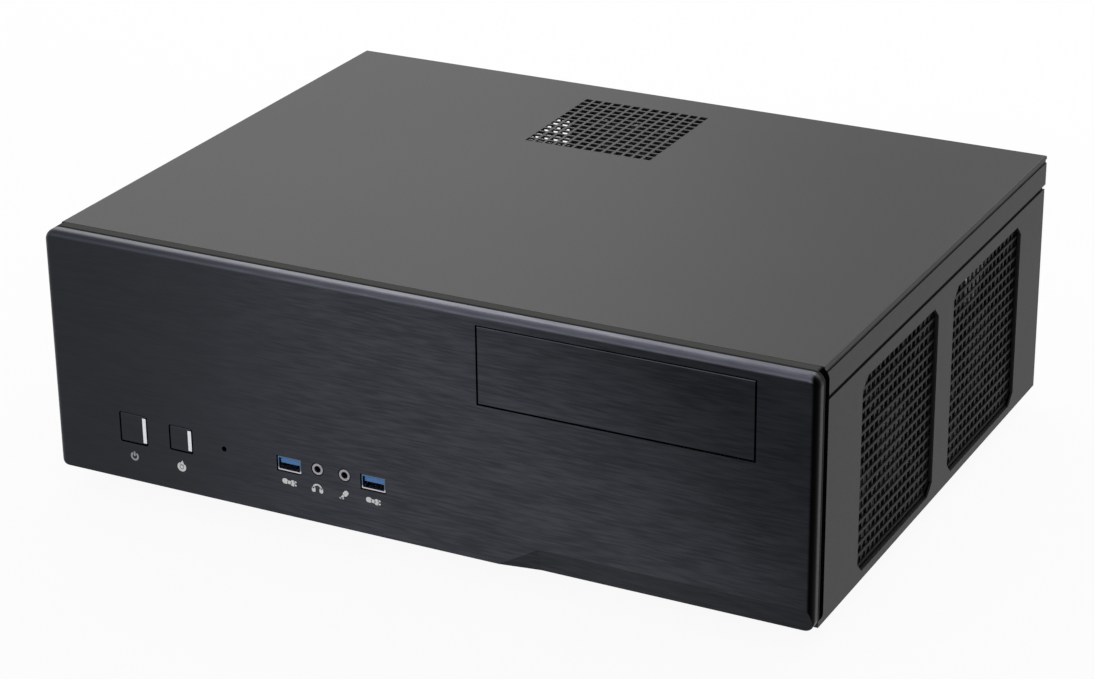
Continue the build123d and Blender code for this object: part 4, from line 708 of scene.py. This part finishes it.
def make_springs():
    """Coil springs of both buttons, in place of the CAD springs, which are hidden."""
    for button in ("power", "reset"):
        low, high = box_mm(f"{button}_spring")
        middle, length = (low + high) / 2, high.y - low.y - SPRING_WIRE
        coil_radius = (high.x - low.x - SPRING_WIRE) / 2
        coil = primitive("circle", f"{button}_coil_spring", vertices=8, radius=SPRING_WIRE / 2)
        bpy.ops.transform.rotate(value=radians(90), orient_axis="X", center_override=(0, 0, 0))
        bpy.ops.transform.translate(value=(coil_radius, 0, -length / 2))
        object_mode()
        modify(coil, "SCREW", axis="Z", angle=2 * pi, iterations=SPRING_TURNS, steps=20, render_steps=20,
               screw_offset=length / SPRING_TURNS, use_merge_vertices=False)
        bpy.ops.object.mode_set(mode="EDIT")
        bpy.ops.mesh.select_all(action="SELECT")
        bpy.ops.mesh.fill_holes(sides=0)
        bpy.ops.mesh.normals_make_consistent(inside=False)
        coil = copied(f"{button}_coil_spring", coil, [(*middle, 90, 0, 0)])
        settle(coil, "spring_steel")
        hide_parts(f"{button}_spring")
        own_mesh(coil)


# ---------------------------------------------------------------- screws and rivets
SUPPLY_SCREW_INSET = 7.2                     # from the edges of the power supply's rear face
SLOT_SCREW_X, SLOT_SCREW_Y = 9.2, 7.5        # first slot cover's screw, from the covers' rear left corner
SLOT_PITCH = 20.32
FAN_SCREW_INSET = 7.5                        # from the edges of the supply's fan
BRACKET_SHEET = 1.3                          # sheet on both sides of the hard drive
DRIVE_SCREW_HEIGHT = 6.4                     # side screws above the drive's base
DRIVE_SCREW_INSET = 28                       # and from its ends
RIVET_ROWS = (100, 160, 222)                 # floor rivets along the sides
RIVET_COLUMNS = (-105, -35, 35, 105)         # floor rivets along the front and the rear
SIDE_RIVET_INSET, END_RIVET_INSET = 7, 8


def make_screws():
    """Screws of the power supply, the slot covers, the supply's fan and the hard drive."""
    low, high = box_mm("supply_lid")
    corners = [(x, z) for x in (low.x + SUPPLY_SCREW_INSET, high.x - SUPPLY_SCREW_INSET)
               for z in (low.z + SUPPLY_SCREW_INSET, high.z - SUPPLY_SCREW_INSET)]
    places = [(x, REAR_FACE, z, -90, 0, 20 * i) for i, (x, z) in enumerate(corners)]
    settle(copied("supply_screws", screw_head("screw", 3.2, 1.8), places), "black_screw")
    lid_top = high.z
    low, high = box_mm("slot_covers")
    places = [(low.x + SLOT_SCREW_X + SLOT_PITCH * i, high.y - SLOT_SCREW_Y, high.z, 0, 0, 35 * i)
              for i in range(4)]
    settle(copied("slot_cover_screws", screw_head("screw", 3.2, 2.0), places), "zinc_steel")
    low, high = box_mm("supply_fan_frame")
    places = [(x, y, lid_top, 0, 0, 30) for x in (low.x + FAN_SCREW_INSET, high.x - FAN_SCREW_INSET)
              for y in (low.y + FAN_SCREW_INSET, high.y - FAN_SCREW_INSET)]
    settle(copied("supply_fan_screws", screw_head("screw", 3.4, 1.6), places), "black_screw")
    low, high = box_mm("hard_drive")
    sides = ((low.x - BRACKET_SHEET, -90), (high.x + BRACKET_SHEET, 90))
    places = [(x, y, low.z + DRIVE_SCREW_HEIGHT, 0, turn, 0) for x, turn in sides
              for y in (low.y + DRIVE_SCREW_INSET, high.y - DRIVE_SCREW_INSET)]
    settle(copied("drive_screws", screw_head("screw", 3.0, 1.6), places), "zinc_steel")


def make_rivets():
    """Domed rivets that join the walls to the floor."""
    low, high = box_mm("floor_pan")
    model = disc("rivet", 2.4, 0, 0.9, edge=0.5, sides=20)
    under = [(x, y, 0, 180, 0, 0) for x in (low.x + SIDE_RIVET_INSET, high.x - SIDE_RIVET_INSET)
             for y in RIVET_ROWS]
    under += [(x, y, 0, 180, 0, 0) for y in (low.y + END_RIVET_INSET, high.y - END_RIVET_INSET)
              for x in RIVET_COLUMNS]
    settle(copied("floor_rivets", model, under), "black_steel")


# ---------------------------------------------------------------- rear sockets
AUDIO_COLUMN_X = 6.5                         # middle of the audio sockets from the ports' end
AUDIO_HEIGHT = 34                            # height of the block of three


def make_audio_rings():
    """Coloured collar round each rear audio bore."""
    ports_low, ports_high = box_mm("rear_ports")
    x, face = ports_low.x + AUDIO_COLUMN_X, ports_high.y
    for i, colour in enumerate(("pink_nylon", "green_nylon", "port_blue")):
        z = ports_low.z + AUDIO_HEIGHT / 3 * (i + 0.5)
        model = ring("collar", 3.6, 1.85, 0, 0.5, edge=0.2)
        settle(copied(f"rear_audio_ring_{i + 1}", model, [(x, face, z, -90, 0, 0)]), colour)


# ---------------------------------------------------------------- motherboard
STAGGERED_CAPACITORS = (152, 196)            # first of the zigzag row beside the processor
# rows of small parts: first place, step to the next, how many, and the turn from one to the next
CAPACITOR_ROWS = (((60, 291.5), (10.5, 0), 8, 23), ((-46, 165), (12, 0), 3, 31), ((34, 92), (0, 10), 4, 11))
COIL_ROWS = (((172, 196), (0, 12.5), 7, 0), ((36, 186), (12.5, 0), 2, 0))
DRIVE_PLUG_ROW = ((-48, 76), (18, 0), 4, 0)
PIN_HEADER_ROW = ((44, 75.5), (19, 0), 5, 0)
# chips: side, legs on each side, and each place with its turn
LARGE_CHIPS = (13, 16, ((-36, 98, 0), (8, 150, 90), (-44, 284, 0)))
SMALL_CHIPS = (7, 8, ((18, 84, 0), (-14, 84, 0), (20, 288, 0), (60, 128, 0), (100, 112, 90)))
CHIPSET_PLACE = (-12, 124)
COIN_CELL_PLACE = (-34, 141)
POWER_PLUG_PLACE = (176, 112)
PROCESSOR_PLUG_PLACE = (172, 289)
PLUG_PITCH = 4.2                             # spacing of the wells in a power connector
PIN_PITCH = 2.54


def row_on_board(first, pace, count, turn):
    """Places in a row on the board."""
    return [(first[0] + pace[0] * i, first[1] + pace[1] * i, BOARD_TOP, 0, 0, turn * i)
            for i in range(count)]


def make_capacitors():
    """Electrolytic capacitors: sleeved cans with a scored, slightly sunk top."""
    can = disc("can", 3.6, 0, 9.5, edge=0.6, sides=24)
    cross = joined("score", [block("line", (5.4, 0.35, 0.4), (0, 0, 9.5)),
                             block("line", (0.35, 5.4, 0.4), (0, 0, 9.5))])
    model = sunk(can, cross)
    x, y = STAGGERED_CAPACITORS
    staggered = [(x + 9 * (i % 2), y + 9.5 * i, BOARD_TOP, 0, 0, 17 * i) for i in range(9)]
    places = staggered + [place for row in CAPACITOR_ROWS for place in row_on_board(*row)]
    settle(copied("board_capacitors", model, places), "can_aluminium")


def make_coils():
    """Moulded power coils beside the processor socket."""
    model = block("coil", (9.8, 9.8, 7.2), (0, 0, 3.6), edge=0.9)
    only(model)
    bpy.ops.object.mode_set(mode="EDIT")
    choose("FACE", facing(2, 1))
    bpy.ops.mesh.inset(thickness=1.2)
    bpy.ops.transform.translate(value=(0, 0, -0.3))
    object_mode()
    places = [place for row in COIL_ROWS for place in row_on_board(*row)]
    settle(copied("board_coils", model, places), "ferrite")


def chip(side, height, legs):
    """Flat chip package with a row of gull-wing legs on each side."""
    body = block("body", (side, side, height), (0, 0, 0.2 + height / 2), edge=0.15)
    pitch = side * 0.9 / legs
    leg = joined("leg", [block("foot", (pitch * 0.5, 1.1, 0.15), (0, side / 2 + 0.75, 0.1)),
                         block("shoulder", (pitch * 0.5, 0.6, 0.5), (0, side / 2 + 0.1, 0.4))])
    rows = [(pitch * (i - (legs - 1) / 2), 0, 0, 0, 0, 0) for i in range(legs)]
    row = copied("row", leg, rows)
    around = copied("legs", row, [(0, 0, 0, 0, 0, turn) for turn in (0, 90, 180, 270)])
    return body, around


def make_chips():
    """Controller chips of the board: moulded bodies and tinned legs."""
    chips = {"board_chips_large": LARGE_CHIPS, "board_chips_small": SMALL_CHIPS}
    for name, (side, legs, spots) in chips.items():
        body, leg_rows = chip(side, 1.4, legs)
        places = [(x, y, BOARD_TOP, 0, 0, turn) for x, y, turn in spots]
        settle(copied(name, body, places), "chip_epoxy")
        settle(copied(f"{name}_legs", leg_rows, places), "port_metal")


def make_chipset_sink():
    """Small finned heatsink on the chipset: a block with its top pulled up into fins."""
    piece = primitive("cube", "chipset_heatsink", (36, 36, 3), size=1)
    bpy.ops.transform.translate(value=(0, 0, 3.0))
    object_mode()
    rounded(piece, 0.4)
    fin = block("fin", (1.2, 36, 7), (0, 0, 7.5), edge=0.3)
    fins = copied("fins", fin, [(-16.8 + 4.2 * i, 0, 0, 0, 0, 0) for i in range(9)])
    piece = joined("chipset_heatsink", [piece, fins])
    settle(copied("chipset_heatsink", piece, [(*CHIPSET_PLACE, BOARD_TOP, 0, 0, 0)]), "bare_aluminium")


def sockets(name, columns, rows, pitch, height, wall=0.9):
    """Plug connector: a block whose top has a grid of square wells."""
    size = (columns * pitch + wall, rows * pitch + wall, height)
    body = block(name, size, (0, 0, height / 2), edge=0.25)
    well = block("well", (pitch - wall, pitch - wall, height), (0, 0, height))
    wells = copied("wells", well, [(pitch * (i - (columns - 1) / 2), pitch * (j - (rows - 1) / 2), 0)
                                   for i in range(columns) for j in range(rows)])
    return sunk(body, wells)


def make_connectors():
    """Plug connectors of the board: power, processor power, drives and pin headers."""
    main = sockets("board_power_connector", 12, 2, PLUG_PITCH, 12)
    places = [(*POWER_PLUG_PLACE, BOARD_TOP, 0, 0, 90)]
    settle(copied("board_power_connector", main, places), "white_nylon")
    second = sockets("processor_power_connector", 4, 2, PLUG_PITCH, 12)
    places = [(*PROCESSOR_PLUG_PLACE, BOARD_TOP, 0, 0, 0)]
    settle(copied("processor_power_connector", second, places), "white_nylon")
    drive = block("plug", (14, 7, 8.6), (0, 0, 4.3), edge=0.3)
    drive = sunk(drive, joined("hollow", [block("slot", (10.6, 1.6, 8), (0, -0.8, 7)),
                                          block("slot", (1.4, 3.0, 8), (4.6, 0.2, 7))]))
    settle(copied("drive_connectors", drive, row_on_board(*DRIVE_PLUG_ROW)), "port_blue")
    base = block("strip", (12.7, 5.1, 2.5), (0, 0, 1.25), edge=0.2)
    pin = block("pin", (0.64, 0.64, 9), (0, 0, 4.5), edge=0.12)
    pins = copied("pins", pin, [(PIN_PITCH * (i - 2), PIN_PITCH * (j - 0.5), 0)
                                for i in range(5) for j in range(2)])
    places = row_on_board(*PIN_HEADER_ROW)
    settle(copied("pin_header_strips", base, places), "chip_epoxy")
    settle(copied("pin_header_pins", pins, places), "gold_plate")


def make_coin_cell():
    """Coin cell in its round holder."""
    cell = disc("cell", 9.9, 1.0, 4.2, edge=0.5, sides=40)
    settle(copied("coin_cell", cell, [(*COIN_CELL_PLACE, BOARD_TOP)]), "port_metal")
    holder = ring("holder", 11.6, 10.1, 0, 3.0, edge=0.3, sides=40)
    settle(copied("coin_cell_holder", holder, [(*COIN_CELL_PLACE, BOARD_TOP)]), "black_plastic")


# ---------------------------------------------------------------- fans and drive
SPINDLE_SHIFT, LABEL_SHIFT = 24, -38         # lid ring and label from the drive's middle
LID_SCREW_X, LID_SCREW_Y = (-42, 42), (-66, 0, 66)
LABEL_THICKNESS = 0.12
DRIVE_PLUG_SHIFT = (-20, 1.9, 5)             # plug from the drive's middle, its rear end and its base


def make_fan_labels():
    """Blank round label on the hub of each fan frame."""
    for fan in ("right_front_fan", "right_rear_fan"):
        low, high = box_mm(f"{fan}_frame")
        model = disc("label", 17, 0, LABEL_THICKNESS, sides=48)
        place = (high.x, (low.y + high.y) / 2, (low.z + high.z) / 2, 0, 90, 0)
        settle(copied(f"{fan}_label", model, [place]), "label_foil")


def make_drive_details():
    """Hard drive: pressed lid ring with its screws, a blank label, and the plug connector at its end."""
    low, high = box_mm("hard_drive")
    x, y, top = (low.x + high.x) / 2, (low.y + high.y) / 2, high.z
    spindle = ring("lid_ring", 33, 30.5, 0, 0.5, edge=0.25, sides=56)
    settle(copied("drive_lid_ring", spindle, [(x, y + SPINDLE_SHIFT, top)]), "drive_metal")
    label = block("label", (78, 52, LABEL_THICKNESS), edge=0.03)
    place = (x, y + LABEL_SHIFT, top + LABEL_THICKNESS / 2)
    settle(copied("drive_label", label, [place]), "label_paper")
    screw = screw_head("screw", 2.2, 0.9)
    places = [(x + dx, y + dy, top, 0, 0, 20) for dx in LID_SCREW_X for dy in LID_SCREW_Y]
    settle(copied("drive_lid_screws", screw, places), "zinc_steel")
    plug = sunk(block("plug", (34, 4, 6), edge=0.3), block("slot", (30, 6, 2.2)))
    across, beyond, above = DRIVE_PLUG_SHIFT
    place = (x + across, high.y + beyond, low.z + above)
    settle(copied("drive_plug", plug, [place]), "black_plastic")


# ---------------------------------------------------------------- camera, light and floor
AIM = Vector((-0.0051, -0.0094, 0.0649))     # where the camera looks
CAMERA_AZIMUTH = radians(27.44)
CAMERA_ELEVATION = radians(23.48)
CAMERA_ROLL = radians(0.66)
CAMERA_DISTANCE = 1.7007
CAMERA_LENS = 102.03
LAMPS = (                                    # name, place, side and power
    ("key", (-0.8, 0.9, 1.0), 1.0, 6.4),
    ("overhead", (0.1, 0.3, 2.1), 1.4, 4.5),
    ("rear_right", (0.45, 1.3, 1.0), 1.0, 7),
    ("front_left", (-1.5, -2.0, 1.2), 1.4, 6),
    ("front_right", (0.8, -2.3, 1.5), 1.2, 8),
    ("right_fill", (2.2, 0.1, 0.9), 1.2, 0.4),
)
WORLD_LIGHT = 0.45                           # what the surround gives as light on the case
FLOOR_GLOW = 0.93                            # share of plain white in the floor where it is seen
FLOOR_SIZE = 30


def place_camera():
    """Camera at the front right corner, looking down on the case."""
    azimuth, elevation, roll = CAMERA_AZIMUTH, CAMERA_ELEVATION, CAMERA_ROLL
    back = Vector((sin(azimuth) * cos(elevation), -cos(azimuth) * cos(elevation), sin(elevation)))
    right = Vector((cos(azimuth), sin(azimuth), 0))
    up = back.cross(right)
    turned_right = cos(roll) * right - sin(roll) * up
    turned_up = sin(roll) * right + cos(roll) * up
    camera = bpy.data.objects.new("camera", bpy.data.cameras.new("camera"))
    bpy.context.scene.collection.objects.link(camera)
    turn = Matrix((turned_right, turned_up, back)).transposed().to_4x4()
    camera.matrix_world = Matrix.Translation(AIM + CAMERA_DISTANCE * back) @ turn
    camera.data.lens = CAMERA_LENS
    camera.data.clip_end = 50
    bpy.context.scene.camera = camera


def area_light(name, place, size, power, aim=(0, 0, 0.07)):
    """Soft square lamp that faces the case."""
    lamp = bpy.data.lights.new(name, "AREA")
    lamp.size, lamp.energy = size, power
    holder = bpy.data.objects.new(name, lamp)
    bpy.context.scene.collection.objects.link(holder)
    holder.location = place
    holder.rotation_euler = (Vector(aim) - Vector(place)).to_track_quat("-Z", "Y").to_euler()


def seen_directly(tree):
    """1 for rays from the camera, and for rays mirrored by or passed through the object."""
    path = tree.nodes.new("ShaderNodeLightPath")
    shiny = add(tree, "ShaderNodeMath", {"operation": "MAXIMUM"},
                {0: path.outputs["Is Glossy Ray"], 1: path.outputs["Is Transmission Ray"]}).outputs[0]
    return add(tree, "ShaderNodeMath", {"operation": "MAXIMUM"},
               {0: path.outputs["Is Camera Ray"], 1: shiny}).outputs[0]


def build_world():
    """Studio surround: white where it is seen, dimmer as light on the case."""
    world = bpy.data.worlds.new("studio")
    bpy.context.scene.world = world
    world.use_nodes = True
    tree = world.node_tree
    strength = ramp_value(tree, seen_directly(tree), WORLD_LIGHT, 1.0)
    background = tree.nodes["Background"]
    background.inputs["Color"].default_value = (1, 1, 1, 1)
    tree.links.new(strength, background.inputs["Strength"])


def build_floor():
    """Pale floor that reads as white and keeps a soft shadow of the case."""
    bpy.ops.mesh.primitive_plane_add(size=FLOOR_SIZE, location=(0, 0, 0))
    floor = bpy.context.active_object
    floor.name = "floor"
    material = bpy.data.materials.new("pale_floor")
    material.use_nodes = True
    tree = material.node_tree
    tree.nodes.clear()
    matt = add(tree, "ShaderNodeBsdfDiffuse", {"Color": (0.85, 0.85, 0.85, 1)})
    glow = add(tree, "ShaderNodeEmission", {"Color": (1, 1, 1, 1), "Strength": 1.0})
    share = ramp_value(tree, seen_directly(tree), 0.0, FLOOR_GLOW)
    mixed = add(tree, "ShaderNodeMixShader", {}, {0: share, 1: matt.outputs[0], 2: glow.outputs[0]})
    add(tree, "ShaderNodeOutputMaterial", {}, {"Surface": mixed.outputs[0]})
    floor.data.materials.append(material)


place_camera()
for lamp_facts in LAMPS:
    area_light(*lamp_facts)
build_world()
build_floor()
bpy.context.scene.view_settings.view_transform = "Standard"

dress_nodes()
make_marks()
make_jack_rings()
make_socket_backs()
make_data_contacts()
make_screws()
make_rivets()
make_audio_rings()
make_capacitors()
make_coils()
make_chips()
make_chipset_sink()
make_connectors()
make_coin_cell()
make_springs()
make_fan_labels()
make_drive_details()
